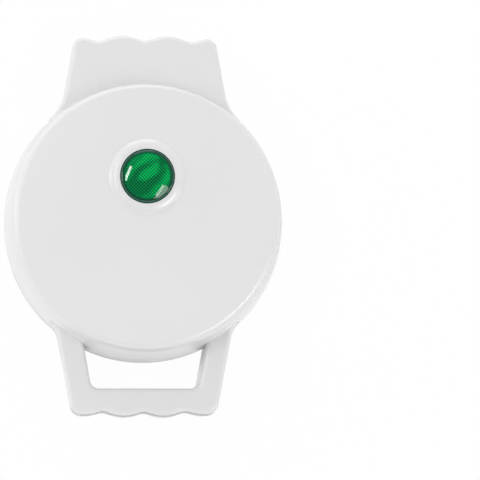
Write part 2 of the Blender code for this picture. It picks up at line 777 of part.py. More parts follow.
def build_base_shell(carrier):
    tail = short_tail_outline(BASE_TAIL_END, BASE_TAIL_CORNER)
    shell = housing(base_profile, tail, FLOOR_DEPTH, TAIL_FLOOR_ROUND)
    add_bosses(shell, FLOOR_INSIDE)
    add_supports(shell, FLOOR_INSIDE)
    nose = arc((HINGE_Y, 0.0), KNUCKLE_R, 180, 450, 12)
    wall_y = BASE_TAIL_END - WALL / 2
    ear = [(wall_y, ARM_DEPTH), (wall_y, 2 * FACE_DEPTH)] + [(HINGE_Y - KNUCKLE_R, 2 * FACE_DEPTH)] + nose[1:]
    stop_y = BASE_TAIL_END + STOP_REACH
    for side in (-1, 1):
        low, high = sorted((side * KNUCKLE_INNER, side * (KNUCKLE_INNER + KNUCKLE_WIDTH)))
        join(shell, bar("knuckle", ear, low, high))
        cut(shell, rod_along("X", PIN_R + FIT, low - OVERRUN, high + OVERRUN, (HINGE_Y, 0.0)))
        low, high = sorted((side * STOP_INNER, side * STOP_OUTER))
        join(shell, block((low, high), (wall_y, stop_y), (STOP_TOP_DEPTH, STOP_END_DEPTH)))
        cut(shell, rod_along("Y", LEAD_HOLE_R, BASE_TAIL_END - WALL - OVERRUN, BASE_TAIL_END + OVERRUN,
                             (side * LEAD_HOLE_X, LEAD_HOLE_DEPTH), 12))
    cut(shell, rod_along("Y", GLAND_NECK_R + FIT, BASE_TAIL_END - WALL - OVERRUN, BASE_TAIL_END + OVERRUN,
                         (0.0, GLAND_DEPTH), SMALL_ROUND))
    for place in foot_places().values():
        cut(shell, rod(FOOT_STEM_R + FIT, FLOOR_INSIDE - OVERRUN, FLOOR_DEPTH + OVERRUN, place, 12))
    half_row = VENT_PITCH * (VENTS - 1) / 2
    for row in range(VENTS):
        x = row * VENT_PITCH - half_row
        outline = rounded([(x - VENT_WIDTH / 2, -VENT_LENGTH / 2), (x + VENT_WIDTH / 2, -VENT_LENGTH / 2),
                           (x + VENT_WIDTH / 2, VENT_LENGTH / 2), (x - VENT_WIDTH / 2, VENT_LENGTH / 2)],
                          VENT_WIDTH * VENT_ROUND_SHARE, 2)
        cut(shell, prism("vent", outline, FLOOR_INSIDE - OVERRUN, FLOOR_DEPTH + OVERRUN))
    for side in (-1, 1):
        y = BLOCK_Y + side * (BLOCK_WIDTH / 2 + FIT + BLOCK_RIB / 2)
        join(shell, block((-BLOCK_LENGTH / 4, BLOCK_LENGTH / 4), (y - BLOCK_RIB / 2, y + BLOCK_RIB / 2),
                          (BLOCK_FLOOR - BLOCK_HEIGHT / 4, FLOOR_INSIDE + WALL / 2)))
    return settle(shell, "base_shell", white_plastic(), carrier, BASE)


def build_frame(name, carrier, side):
    """The flat inner frame that closes a housing round its plate."""
    inset = -(WALL + FIT)
    frame = prism(name, offset(handle_outline(), inset), FACE_DEPTH, FRAME_BACK)
    cut(frame, prism("window", window_outline(-inset), FACE_DEPTH - OVERRUN, FRAME_BACK + OVERRUN))
    join(frame, rod(BODY_R + inset, FACE_DEPTH, FRAME_BACK, steps=ROUND))
    tail = offset(short_tail_outline(FRAME_TAIL_END - inset, BASE_TAIL_CORNER), inset)
    join(frame, prism("tail", tail, FACE_DEPTH, FRAME_BACK))
    cut(frame, rod(FRAME_BORE_R, FACE_DEPTH - OVERRUN, FRAME_BACK + OVERRUN, steps=ROUND))
    for place in screw_places():
        head = SCREW_HEAD_R + FIT
        shank = SCREW_R + FIT
        sink = [(0, FRAME_BACK + OVERRUN), (shank, FRAME_BACK + OVERRUN), (shank, FACE_DEPTH + SCREW_HEAD),
                (head, FACE_DEPTH), (head, FACE_DEPTH - OVERRUN), (0, FACE_DEPTH - OVERRUN)]
        cut(frame, turned("sink", sink, SMALL_ROUND, place))
    return settle(frame, name, frame_plastic(), carrier, side)


# Plates and heating

def petal(centre_from, length, width, degrees, steps=4):
    """A pointed leaf that lies along a radius."""
    upper = []
    for i in range(steps + 1):
        upper.append((centre_from + length * i / steps, width / 2 * math.sin(math.pi * i / steps)))
    outline = [(x, -y) for x, y in upper] + upper[-2:0:-1]
    c = math.cos(math.radians(degrees))
    s = math.sin(math.radians(degrees))
    return [(x * c - y * s, x * s + y * c) for x, y in outline]


def cavity_outline():
    steps = LOBES * 4
    points = []
    for i in range(steps):
        angle = 2 * math.pi * i / steps
        radius = CAVITY_R + CAVITY_LOBE * abs(math.sin(LOBES * angle / 2))
        points.append((radius * math.cos(angle), radius * math.sin(angle)))
    return points


def star_outline():
    points = []
    for i in range(2 * INNER_PETALS):
        angle = math.pi * i / INNER_PETALS
        radius = STAR_R if i % 2 else STAR_R * STAR_DEEP_SHARE
        points.append((radius * math.cos(angle), radius * math.sin(angle)))
    return points


def build_plate(name, carrier, side):
    """A cast plate: scalloped cavity, engraved flower, and posts on its back."""
    flange = FRAME_BACK + FIT
    profile = [(0, PLATE_BACK), (PLATE_BACK_R, PLATE_BACK),
               (PLATE_BACK_R, flange + PLATE_FLANGE), (PLATE_FLANGE_R, flange + PLATE_FLANGE),
               (PLATE_FLANGE_R, flange), (PLATE_FACE_R, flange), (PLATE_FACE_R, FACE_DEPTH), (0, FACE_DEPTH)]
    plate = turned(name, profile)
    cut(plate, prism("cavity", cavity_outline(), FACE_DEPTH - OVERRUN, CAVITY_FLOOR))
    shapes = [star_outline()]
    shapes += [petal(OUTER_PETAL_FROM, OUTER_PETAL_LENGTH, OUTER_PETAL_WIDTH, 360 * (i + 0.5) / LOBES)
               for i in range(LOBES)]
    shapes += [petal(INNER_PETAL_FROM, INNER_PETAL_LENGTH, INNER_PETAL_WIDTH, 360 * i / INNER_PETALS)
               for i in range(INNER_PETALS)]
    floor = (CAVITY_FLOOR - ENGRAVING_DEPTH, CAVITY_FLOOR + ENGRAVING_DEPTH)
    cut(plate, group("flower", [prism("leaf", outline, *floor) for outline in shapes]))
    for degrees in POST_DEGREES:
        place = around(POST_RADIUS, degrees)
        join(plate, rod(POST_R, PLATE_BACK - ENGRAVING_DEPTH, REFLECTOR_FACE - FIT, place))
        cut(plate, rod(PAN_R + FIT, REFLECTOR_BACK - PAN_LENGTH, REFLECTOR_FACE, place, SCREW_ROUND))
    for x in (-STRAP_POST_X, STRAP_POST_X):
        join(plate, rod(STRAP_POST_R, PLATE_BACK - ENGRAVING_DEPTH, STRAP_DEPTH - FIT, (x, 0.0), 12))
        cut(plate, rod(SMALL_PAN_R + FIT, STRAP_DEPTH - SMALL_PAN_LENGTH, STRAP_DEPTH, (x, 0.0), 8))
    return settle(plate, name, plate_aluminium(), carrier, side)


def height(side, depth):
    return PARTING_Z + side * depth


def terminal_place(hand, bend_share=1.0):
    """Where an end of the heater tube rises, on the left (-1) or the right (1), or a place on its bend."""
    angle = math.radians(90 - ELEMENT_GAP_DEG)
    back = ELEMENT_BEND * bend_share
    x = ELEMENT_R * math.cos(angle) - back * math.sin(angle)
    y = ELEMENT_R * math.sin(angle) + back * math.cos(angle)
    return hand * x, y


def build_element(name, carrier, side):
    """A tubular heater: an open ring whose ends bend away from the plate."""
    right = 90 - ELEMENT_GAP_DEG
    angle = math.radians(right)
    bend = []
    for i in range(4):
        turn = math.pi / 2 * (1 - i / 4)
        back = ELEMENT_BEND * math.sin(turn)
        x = ELEMENT_R * math.cos(angle) - back * math.sin(angle)
        y = ELEMENT_R * math.sin(angle) + back * math.cos(angle)
        bend.append((x, y, ELEMENT_DEPTH + ELEMENT_BEND * (1 - math.cos(turn))))
    sweep = 360 - 2 * ELEMENT_GAP_DEG
    ring = [(*around(ELEMENT_R, right - sweep * i / 22), ELEMENT_DEPTH) for i in range(23)]
    left = [(-x, y, z) for x, y, z in bend[::-1]]
    start = (bend[0][0], bend[0][1], ELEMENT_END_DEPTH)
    end = (-start[0], start[1], ELEMENT_END_DEPTH)
    route = [(x, y, height(side, z)) for x, y, z in [start] + bend + ring + left + [end]]
    return tube(name, route, ELEMENT_TUBE_R, element_steel(), carrier)


def build_heater_pins(half_name, carrier, side):
    """The cold pins that stand in the two ends of a heater."""
    for hand_name, hand in (("left", -1), ("right", 1)):
        pin = rod(TERMINAL_R, ELEMENT_END_DEPTH + FIT, TERMINAL_DEPTH, terminal_place(hand), 10)
        settle(pin, f"{half_name}_heater_pin_{hand_name}", bright_steel(), carrier, side)


def build_reflector(name, carrier, side):
    """A dished sheet behind the heater."""
    rim = PLATE_BACK + REFLECTOR_WALL_START
    profile = [(REFLECTOR_BORE_R, REFLECTOR_BACK), (REFLECTOR_R, REFLECTOR_BACK), (REFLECTOR_R, rim),
               (REFLECTOR_R - REFLECTOR_SHEET, rim), (REFLECTOR_R - REFLECTOR_SHEET, REFLECTOR_FACE),
               (REFLECTOR_BORE_R, REFLECTOR_FACE)]
    dish = turned(name, profile, 32)
    for degrees in POST_DEGREES:
        cut(dish, rod(PAN_R + FIT, REFLECTOR_FACE - OVERRUN, REFLECTOR_BACK + OVERRUN,
                      around(POST_RADIUS, degrees), 12))
    for hand in (-1, 1):
        cut(dish, rod(ELEMENT_HOLE_R, REFLECTOR_FACE - OVERRUN, REFLECTOR_BACK + OVERRUN,
                      terminal_place(hand, ELEMENT_HOLE_SHARE)))
    return settle(dish, name, sheet_aluminium(), carrier, side)


def countersunk(place):
    """A flat-headed screw that is driven from the parting side."""
    shank_end = FACE_DEPTH + SCREW_LENGTH
    profile = [(0, shank_end), (SCREW_R, shank_end - SCREW_R / 2), (SCREW_R, FACE_DEPTH + SCREW_HEAD + FIT),
               (SCREW_HEAD_R, FACE_DEPTH + FIT), (0, FACE_DEPTH + FIT)]
    return turned("screw", profile, SCREW_ROUND, place)


def pan_screw(place, under_head, radius, head_radius, length):
    """A pan-headed screw that is driven from behind."""
    top = under_head + PAN_HEAD
    tip = under_head - length
    profile = [(0, top), (head_radius, under_head + PAN_HEAD / 2), (head_radius, under_head),
               (radius, under_head), (radius, tip), (0, tip)]
    return turned("screw", profile, SCREW_ROUND, place)


def build_screws(carrier, side, half_name, strap_name):
    """The screws of one half, each its own piece."""
    steel = bright_steel()
    for number, place in enumerate(screw_places(), 1):
        settle(countersunk(place), f"{half_name}_frame_screw_{number}", steel, carrier, side)
    for number, degrees in enumerate(POST_DEGREES, 1):
        screw = pan_screw(around(POST_RADIUS, degrees), REFLECTOR_BACK + FIT, PAN_R, PAN_HEAD_R,
                          PAN_LENGTH - OVERRUN)
        settle(screw, f"{half_name}_plate_screw_{number}", steel, carrier, side)
    for number, x in enumerate((-STRAP_POST_X, STRAP_POST_X), 1):
        screw = pan_screw((x, 0.0), STRAP_DEPTH + STRAP_THICKNESS + FIT, SMALL_PAN_R, SMALL_PAN_HEAD_R,
                          SMALL_PAN_LENGTH)
        settle(screw, f"{strap_name}_screw_{number}", steel, carrier, side)


def build_strap(name, carrier, side, bore):
    """A spring-steel strap that holds a thermostat or a fuse against the plate's back."""
    end = STRAP_POST_X
    outline = arc((end, 0.0), STRAP_HALF_WIDTH, -90, 90, 6) + arc((-end, 0.0), STRAP_HALF_WIDTH, 90, 270, 6)
    strap = prism(name, outline, STRAP_DEPTH, STRAP_DEPTH + STRAP_THICKNESS)
    if bore:
        join(strap, rod(STRAP_RING_R, STRAP_DEPTH, STRAP_DEPTH + STRAP_THICKNESS, steps=24))
        cut(strap, rod(bore, STRAP_DEPTH - OVERRUN, STRAP_DEPTH + STRAP_THICKNESS + OVERRUN, steps=24))
    for x in (-end, end):
        cut(strap, rod(SMALL_PAN_R + FIT, STRAP_DEPTH - OVERRUN, STRAP_DEPTH + STRAP_THICKNESS + OVERRUN,
                       (x, 0.0), 8))
    return settle(strap, name, bright_steel(), carrier, side)


def build_thermostat(carrier):
    low = PLATE_BACK + FIT
    shoulder = low + THERMOSTAT_CAP
    top = shoulder + THERMOSTAT_BODY
    body = turned("thermostat", [(0, top), (THERMOSTAT_BODY_R, top), (THERMOSTAT_BODY_R, shoulder),
                                 (THERMOSTAT_R, shoulder), (THERMOSTAT_R, low), (0, low)], 24)
    for x in (-TAB_X, TAB_X):
        join(body, block((x - TAB_THICKNESS / 2, x + TAB_THICKNESS / 2), (-TAB_WIDTH / 2, TAB_WIDTH / 2),
                         (top - TAB_THICKNESS, TAB_DEPTH)))
    return settle(body, "thermostat", black_phenolic(), carrier, LID)


def build_fuse(carrier):
    centre = (0.0, PLATE_BACK + FIT + THERMOSTAT_CAP - FUSE_R)
    fuse = rod_along("Y", FUSE_R, -FUSE_LENGTH / 2, FUSE_LENGTH / 2, centre, 12)
    return settle(fuse, "thermal_fuse", bright_steel(), carrier, BASE)


# Indicator

def build_lens(carrier):
    """A domed lens with a hollow stem."""
    rim = LID_DEPTH + BEZEL_RISE + LENS_RIM
    dome = [(0, rim + LENS_RISE)]
    for share in LENS_DOME_SHARES:
        dome.append((LENS_R * share, rim + LENS_RISE * (1 - share ** 4)))
    inner = LENS_STEM_R - LENS_STEM_WALL
    profile = dome + [(LENS_R, LENS_FOOT), (LENS_STEM_R, LENS_FOOT), (LENS_STEM_R, LENS_STEM_END),
                      (inner, LENS_STEM_END), (inner, LENS_FOOT + LENS_FLOOR), (0, LENS_FOOT + LENS_FLOOR)]
    lens = turned("indicator_lens", profile, LENS_ROUND, (0.0, LENS_Y))
    return settle(lens, "indicator_lens", green_lens(), carrier, LID)


def build_retainer(carrier):
    """A push-on ring that grips the lens stem under the roof."""
    top = ROOF_DEPTH - FIT
    inner = LENS_STEM_R + FIT
    ring = turned("lens_retainer", [(inner, top), (RETAINER_R, top), (RETAINER_R, top - RETAINER_THICKNESS),
                                    (inner, top - RETAINER_THICKNESS)], LENS_ROUND, (0.0, LENS_Y))
    return settle(ring, "lens_retainer", bright_steel(), carrier, LID)


def holder_range():
    top = LENS_STEM_END - FIT
    return top - HOLDER_LENGTH, top


def build_lamp_holder(carrier):
    low, top = holder_range()
    inner = LENS_STEM_R - LENS_STEM_WALL - FIT
    bore = LAMP_R + FIT
    profile = [(bore, top + HOLDER_PLUG), (inner, top + HOLDER_PLUG), (inner, top), (LENS_STEM_R, top),
               (LENS_STEM_R, low), (bore, low)]
    holder = turned("lamp_holder", profile, 24, (0.0, LENS_Y))
    return settle(holder, "lamp_holder", frame_plastic(), carrier, LID)


def build_lamp(carrier):
    low = holder_range()[0]
    top = low + LAMP_LENGTH
    profile = [(0, top)] + quarter(0, top, LAMP_R)[1:] + [(LAMP_R, low), (0, low)]
    return settle(turned("neon_lamp", profile, 16, (0.0, LENS_Y)), "neon_lamp", lamp_glass(), carrier, LID)


# Mains side

def build_gland(carrier):
    """The empty cord inlet: a grommet in the rear wall."""
    outside = BASE_TAIL_END + FIT
    inside = BASE_TAIL_END - WALL - FIT
    profile = [(GLAND_BORE_R, outside + GLAND_OUT), (GLAND_FLANGE_R - GLAND_EASE, outside + GLAND_OUT),
               (GLAND_FLANGE_R, outside + GLAND_OUT - GLAND_EASE), (GLAND_FLANGE_R, outside),
               (GLAND_NECK_R, outside), (GLAND_NECK_R, inside), (GLAND_LIP_R, inside),
               (GLAND_NECK_R, inside - GLAND_LIP), (GLAND_BORE_R, inside - GLAND_LIP)]
    gland = turned("cord_gland", profile, 16)
    gland.data.transform(Matrix.Rotation(-math.pi / 2, 4, "X"))
    gland.data.transform(Matrix.Translation((0, 0, GLAND_DEPTH)))
    return settle(gland, "cord_gland", black_phenolic(), carrier, BASE)


def build_terminal_block(carrier):
    low = BLOCK_FLOOR - BLOCK_HEIGHT
    body = block((-BLOCK_LENGTH / 2, BLOCK_LENGTH / 2),
                 (BLOCK_Y - BLOCK_WIDTH / 2, BLOCK_Y + BLOCK_WIDTH / 2), (low, BLOCK_FLOOR))
    for step in (-1, 0, 1):
        cut(body, rod(BLOCK_WIDTH * WELL_R_SHARE, low - OVERRUN, low + BLOCK_WELL,
                      (step * BLOCK_LENGTH * WELL_PITCH_SHARE, BLOCK_Y)))
    return settle(body, "terminal_block", frame_plastic(), carrier, BASE)


def build_pin(name, side, carrier):
    """A hinge pin with a head at its inner end."""
    head = LUG_INNER - FIT - PIN_HEAD_LENGTH
    profile = [(0, PIN_TIP), (PIN_R, PIN_TIP), (PIN_R, LUG_INNER - FIT), (PIN_HEAD_R, LUG_INNER - FIT),
               (PIN_HEAD_R, head), (0, head)]
    pin = turned(name, profile, SMALL_ROUND)
    pin.data.transform(Matrix.Rotation(side * math.pi / 2, 4, "Y"))
    pin.data.transform(Matrix.Translation((0, HINGE_Y, 0)))
    return settle(pin, name, bright_steel(), carrier, LID)


def build_foot(name, place, carrier):
    """A pushed-in rubber foot."""
    sole = PARTING_Z
    head = FLOOR_INSIDE - FIT
    profile = [(0, sole), (FOOT_R - FOOT_EASE, sole), (FOOT_R, sole - FOOT_EASE), (FOOT_R, FLOOR_DEPTH + FIT),
               (FOOT_STEM_R, FLOOR_DEPTH + FIT), (FOOT_STEM_R, head), (FOOT_HEAD_R, head),
               (FOOT_STEM_R - FOOT_EASE, head - FOOT_HEAD), (0, head - FOOT_HEAD)]
    return settle(turned(name, profile, SMALL_ROUND, place), name, foot_rubber(), carrier, BASE)


# Leads

def smooth_route(points, steps=2):
    """A Catmull-Rom curve through the points."""
    knots = [Vector(p) for p in points]
    knots = [2 * knots[0] - knots[1]] + knots + [2 * knots[-1] - knots[-2]]
    route = []
    for a, b, c, d in zip(knots, knots[1:], knots[2:], knots[3:]):
        for i in range(steps):
            t = i / steps
            route.append((b * 2 + (c - a) * t + (a * 2 - b * 5 + c * 4 - d) * t * t
                          + (b * 3 - a - c * 3 + d) * t * t * t) / 2)
    route.append(knots[-2])
    return [tuple(point) for point in route]


def lead(name, side, points, colour, carrier, radius=LEAD_R):
    route = [(x, y, height(side, depth)) for x, y, depth in smooth_route(points)]
    return tube(name, route, radius, lead_sleeve(colour), carrier)


def over_pins():
    """The depth at which a lead runs clear behind the heater pins."""
    return TERMINAL_DEPTH + 2 * LEAD_R


def onto_pin(hand, come_from=REAR):
    """The last points of a lead that ends on a heater pin, from the rear or from the front."""
    x, y = terminal_place(hand)
    return [(x, y + come_from * LEAD_R, over_pins()), (x, y, TERMINAL_DEPTH + FIT + LEAD_R)]


def build_lid_leads(carrier):
    pin_x, pin_y = terminal_place(1)
    tail_depth = (FRAME_BACK + DECK_INSIDE) / 2
    gap_y = (REFLECTOR_R + BODY_R - WALL) / 2
    low = REFLECTOR_BACK + 3 * LEAD_R
    tab_depth = TAB_DEPTH - TAB_LENGTH * TAB_HOLD_SHARE
    tab_x = TAB_X + LEAD_R + FIT + TAB_THICKNESS / 2

    def crossing(hand):
        """From the hinge line through the tail to the edge of the reflector."""
        return [(hand * (LEAD_MEET_X - FIT / 2), HINGE_Y, 0),
                (hand * (LEAD_MEET_X - 2 * LEAD_R), HINGE_Y, 0),
                (hand * LEAD_RISE_X, HINGE_Y, 3 * LEAD_R),
                (hand * LEAD_RISE_X, HINGE_Y - 4 * LEAD_R, tail_depth),
                (hand * LEAD_RISE_X, gap_y, tail_depth + LEAD_R)]

    def beside(hand):
        """Past a heater pin and the lamp to a tab of the thermostat."""
        return [(hand * (pin_x + 4 * LEAD_R), pin_y + 6 * LEAD_R, low),
                (hand * (pin_x + 6 * LEAD_R), pin_y * PAST_PIN_SHARE, low),
                (hand * (tab_x + 4 * LEAD_R), 5 * LEAD_R, tab_depth), (hand * tab_x, 0, tab_depth)]

    lead("lid_lead_live", LID, crossing(-1) + [(-LEAD_RISE_X, gap_y - LEAD_R, low)] + beside(-1),
         (0.55, 0.05, 0.04), carrier)
    lead("lid_lead_neutral", LID, crossing(1) + [
        (LEAD_RISE_X, gap_y - 2 * LEAD_R, over_pins()),
        (-pin_x * NEUTRAL_TURN_SHARE, (gap_y + pin_y) / 2, over_pins())
    ] + onto_pin(-1), (0.80, 0.80, 0.78), carrier)
    lead("thermostat_lead", LID, beside(1)[:0:-1] + [
        (pin_x + 4 * LEAD_R, pin_y + LEAD_R, TERMINAL_DEPTH)] + onto_pin(1), (0.75, 0.40, 0.04), carrier)


def build_lamp_leads(carrier):
    """Two thin leads from the lamp to the heater's pins."""
    low = holder_range()[0]
    pin_x, pin_y = terminal_place(1)
    behind = REFLECTOR_BACK + 3 * LAMP_LEAD_R
    for hand_name, hand in (("left", -1), ("right", 1)):
        points = [(hand * LAMP_R / 2, LENS_Y, low - FIT),
                  (hand * LAMP_R / 2, LENS_Y + LAMP_R / 2, behind + LAMP_LEAD_R),
                  (hand * pin_x / 2, (LENS_Y + pin_y) / 2, behind),
                  (hand * (pin_x - TERMINAL_R - LAMP_LEAD_R - FIT), pin_y,
                   (ELEMENT_END_DEPTH + TERMINAL_DEPTH) / 2)]
        lead(f"lamp_lead_{hand_name}", LID, points, (0.75, 0.75, 0.72), carrier, LAMP_LEAD_R)


def build_base_leads(carrier):
    pin_x, pin_y = terminal_place(1)
    block_top = BLOCK_FLOOR - BLOCK_HEIGHT - FIT
    side_depth = BLOCK_FLOOR - BLOCK_HEIGHT * SIDE_ENTRY_SHARE
    front_y = BLOCK_Y - BLOCK_WIDTH / 2 - FIT
    well_x = BLOCK_LENGTH * WELL_PITCH_SHARE
    inside_y = BASE_TAIL_END - WALL - 3 * LEAD_R
    for name, hand, colour in (("base_lead_live", -1, (0.55, 0.05, 0.04)),
                               ("base_lead_neutral", 1, (0.80, 0.80, 0.78))):
        lead(name, BASE, [
            (hand * well_x, BLOCK_Y + LEAD_R, block_top),
            (hand * well_x, BLOCK_Y + LEAD_R, block_top - 2 * LEAD_R),
            (hand * LEAD_HOLE_X, inside_y, LEAD_HOLE_DEPTH + LEAD_R),
            (hand * LEAD_HOLE_X, BASE_TAIL_END, LEAD_HOLE_DEPTH),
            (hand * LEAD_HOLE_X, HINGE_Y - LEAD_R, LEAD_HOLE_DEPTH - 2 * LEAD_R),
            (hand * (LEAD_HOLE_X - LEAD_R), HINGE_Y, LEAD_R / 2),
            (hand * (LEAD_MEET_X + 2 * LEAD_R), HINGE_Y, 0),
            (hand * (LEAD_MEET_X + FIT / 2), HINGE_Y, 0)], colour, carrier)
    fuse_depth = PLATE_BACK + FIT + THERMOSTAT_CAP - FUSE_R
    fuse_end = FUSE_LENGTH / 2
    lead("element_lead", BASE, [
        (well_x / 2, front_y, side_depth), (well_x / 2, front_y - 3 * LEAD_R, side_depth),
        (pin_x, pin_y + 4 * LEAD_R, over_pins() - LEAD_R)] + onto_pin(1), (0.80, 0.80, 0.78), carrier)
    lead("fuse_supply_lead", BASE, [
        (0, front_y, side_depth), (0, front_y - 3 * LEAD_R, side_depth),
        (0, (pin_y + REFLECTOR_BORE_R) / 2, REFLECTOR_BACK + 4 * LEAD_R),
        (0, REFLECTOR_BORE_R, REFLECTOR_BACK + 3 * LEAD_R),
        (0, REFLECTOR_BORE_R - 3 * LEAD_R, REFLECTOR_FACE),
        (0, fuse_end + 5 * LEAD_R, fuse_depth + LEAD_R / 2),
        (0, fuse_end + 2 * LEAD_R, fuse_depth), (0, fuse_end + FIT, fuse_depth),
    ], (0.55, 0.05, 0.04), carrier)
    lead("fuse_element_lead", BASE, [
        (0, -fuse_end - FIT, fuse_depth), (0, -fuse_end - 2 * LEAD_R, fuse_depth),
        (-LEAD_R, -fuse_end - 5 * LEAD_R, fuse_depth + LEAD_R),
        (-4 * LEAD_R, 3 * LEAD_R - REFLECTOR_BORE_R, REFLECTOR_FACE),
        (-8 * LEAD_R, 6 * LEAD_R - REFLECTOR_BORE_R, REFLECTOR_BACK + 3 * LEAD_R),
        (-POST_RADIUS * SPARE_TURN_SHARE, 0, REFLECTOR_BACK + 4 * LEAD_R),
        (-POST_RADIUS * SPARE_TURN_SHARE, pin_y * PAST_PIN_SHARE, over_pins()),
    ] + onto_pin(-1, FRONT), (0.75, 0.40, 0.04), carrier)


def empty(name, place, carrier=None):
    obj = bpy.data.objects.new(name, None)
    bpy.context.scene.collection.objects.link(obj)
    obj.parent = carrier
    obj.location = place
    return obj


def build_all():
    clear_scene()
    reach = max(-y for x, y in handle_outline())
    body_y = (reach - max(y for x, y in tail_outline())) / 2
    root = empty("body_centre", (0.0, body_y, 0.0))
    hinge = empty("lid_hinge", (0.0, HINGE_Y, PARTING_Z), root)
    build_base_shell(root)
    build_frame("base_frame", root, BASE)
    build_plate("lower_bake_plate", root, BASE)
    build_element("lower_heater", root, BASE)
    build_heater_pins("lower", root, BASE)
    build_reflector("lower_reflector", root, BASE)
    build_strap("fuse_strap", root, BASE, 0.0)
    build_fuse(root)
    build_screws(root, BASE, "base", "fuse_strap")
    build_terminal_block(root)
    build_gland(root)
    for name, place in foot_places().items():
        build_foot(name, place, root)
    build_base_leads(root)
    build_lid_shell(hinge)
    build_frame("lid_frame", hinge, LID)
    build_plate("upper_bake_plate", hinge, LID)
    build_element("upper_heater", hinge, LID)
    build_heater_pins("upper", hinge, LID)
    build_reflector("upper_reflector", hinge, LID)
    build_strap("thermostat_strap", hinge, LID, THERMOSTAT_BODY_R + FIT)
    build_thermostat(hinge)
    build_screws(hinge, LID, "lid", "thermostat_strap")
    build_lens(hinge)
    build_retainer(hinge)
    build_lamp_holder(hinge)
    build_lamp(hinge)
    build_lamp_leads(hinge)
    build_lid_leads(hinge)
    build_pin("hinge_pin_left", -1, hinge)
    build_pin("hinge_pin_right", 1, hinge)


build_all()
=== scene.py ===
"""Looks of the electric pizzelle maker: fine mouldings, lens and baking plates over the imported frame.

Pieces are modelled in millimetres with the middle of the round body over the origin and heights above
the table. settle() then brings them to metres and to their place in the frame.
"""

import json
import math

import bpy
from mathutils import Matrix, Vector


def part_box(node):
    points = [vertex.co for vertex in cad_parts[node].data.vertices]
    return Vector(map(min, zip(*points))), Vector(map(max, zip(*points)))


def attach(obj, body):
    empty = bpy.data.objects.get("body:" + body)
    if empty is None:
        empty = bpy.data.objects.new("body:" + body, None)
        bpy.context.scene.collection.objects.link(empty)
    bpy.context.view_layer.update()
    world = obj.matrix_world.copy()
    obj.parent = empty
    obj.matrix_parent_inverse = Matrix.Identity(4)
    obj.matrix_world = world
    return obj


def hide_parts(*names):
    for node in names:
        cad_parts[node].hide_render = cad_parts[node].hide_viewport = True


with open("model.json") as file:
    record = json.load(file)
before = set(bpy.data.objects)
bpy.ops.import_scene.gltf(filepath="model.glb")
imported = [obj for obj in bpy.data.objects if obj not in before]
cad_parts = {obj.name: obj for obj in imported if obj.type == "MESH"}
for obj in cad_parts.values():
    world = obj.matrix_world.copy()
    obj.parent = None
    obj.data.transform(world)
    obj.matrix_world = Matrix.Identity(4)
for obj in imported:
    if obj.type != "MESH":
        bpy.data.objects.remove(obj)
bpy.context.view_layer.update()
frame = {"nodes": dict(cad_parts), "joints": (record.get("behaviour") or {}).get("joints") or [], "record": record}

# Taken from the frame
MM = 1000.0
plate_low, plate_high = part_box("upper_bake_plate")
lens_low, lens_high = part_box("indicator_lens")
BODY_Y = (plate_low.y + plate_high.y) / 2 * MM
LENS_Y = (lens_low.y + lens_high.y) / 2 * MM - BODY_Y
LENS_R = (lens_high.x - lens_low.x) / 2 * MM
LENS_TOP = lens_high.z * MM
LENS_FOOT = lens_low.z * MM
BODY_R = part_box("lid_shell")[1].x * MM
hinge = frame["joints"][0]["pos_m"]
PARTING = hinge[2] * MM
HINGE_Y = hinge[1] * MM - BODY_Y
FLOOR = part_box("base_shell")[0].z * MM

# Clearances and walls
FIT = 0.3
OVERRUN = 1.0
WALL = 2.2
FACE_GAP = 0.2          # from the parting plane to each half's face
LEVEL = 0.01            # heights this close are the same
MERGE = 0.002           # points this close are the same

# Round body
LID_DEPTH = 29.0
DECK_DEPTH = 11.5
TOP_INSET = 6.1
TOP_ROUND = 2.4
WAIST_INSET = 2.9
LIP_INSET = 1.4
BASE_LEAN = 0.7         # how far the base's wall leans in towards the floor
FLOOR_ROUND = 5.0
TAIL_FLOOR_ROUND = 2.5
EDGE_ROUND = 1.8
TANGENT_INSET = 0.4
ROOT_SHARE = 0.88

# Handle
HANDLE_HALF = 35.0
HANDLE_HALF_OUT = 1.4
HANDLE_TAPER_SHARE = 0.165
HANDLE_LENGTH = 22.3
HANDLE_SHORTER = 0.7    # how far the lid's handle ends short of the base's
HANDLE_BULGE = 1.7
HANDLE_PITCH = 17.6
HANDLE_BOW = 0.3
HANDLE_CORNER = 4.8
HANDLE_FILLET = 12.0
HANDLE_GRIP = 10.4
HANDLE_ARM = 9.6
WINDOW_HALF_INSET = 3.1
WINDOW_TAPER_SHARE = 0.183
WINDOW_CORNER = 3.6
WINDOW_ROUND = 2.2
WINDOW_ROOT_INSET = 20.0

# Tail
TAIL_HALF = 33.5
TAIL_HALF_OUT = 2.2
TAIL_TAPER_SHARE = 0.150
TAIL_LENGTH = 17.6
TAIL_BULGE = 2.2
TAIL_PITCH = 20.0
TAIL_BOW = 0.4
TAIL_CORNER = 4.6
TAIL_FILLET = 22.0
BASE_TAIL_LENGTH = 5.0
BASE_TAIL_CORNER = 4.2
VALLEY_SOFTNESS_SHARE = 0.22

# Steps along a scallop and round corners
SCALLOP_STEPS = 24
CORNER_STEPS = 12
FILLET_STEPS = 16
TOP_STEPS = 12
WINDOW_ROUND_STEPS = 6
FRAME_EASE_STEPS = 2
NOSE_STEPS = 24             # round the half circle of a hinge ear

# Hinge
KNUCKLE_R = 4.0
KNUCKLE_INNER = 19.9
KNUCKLE_WIDTH = 6.2
LUG_WIDTH = 4.6
LUG_DEPTH = 10.0
PIN_R = 1.5
PIN_TIP_LAND = 3.3
ARM_DEPTH = 4.0
STOP_INNER = 5.0
STOP_OUTER = 12.0
STOP_TOP_DEPTH = 7.2
STOP_END_DEPTH = 11.0
STOP_REACH = 2.9
LEAD_HOLE_R = 2.0
LEAD_HOLE_X = 10.5
LEAD_HOLE_DEPTH = 5.2

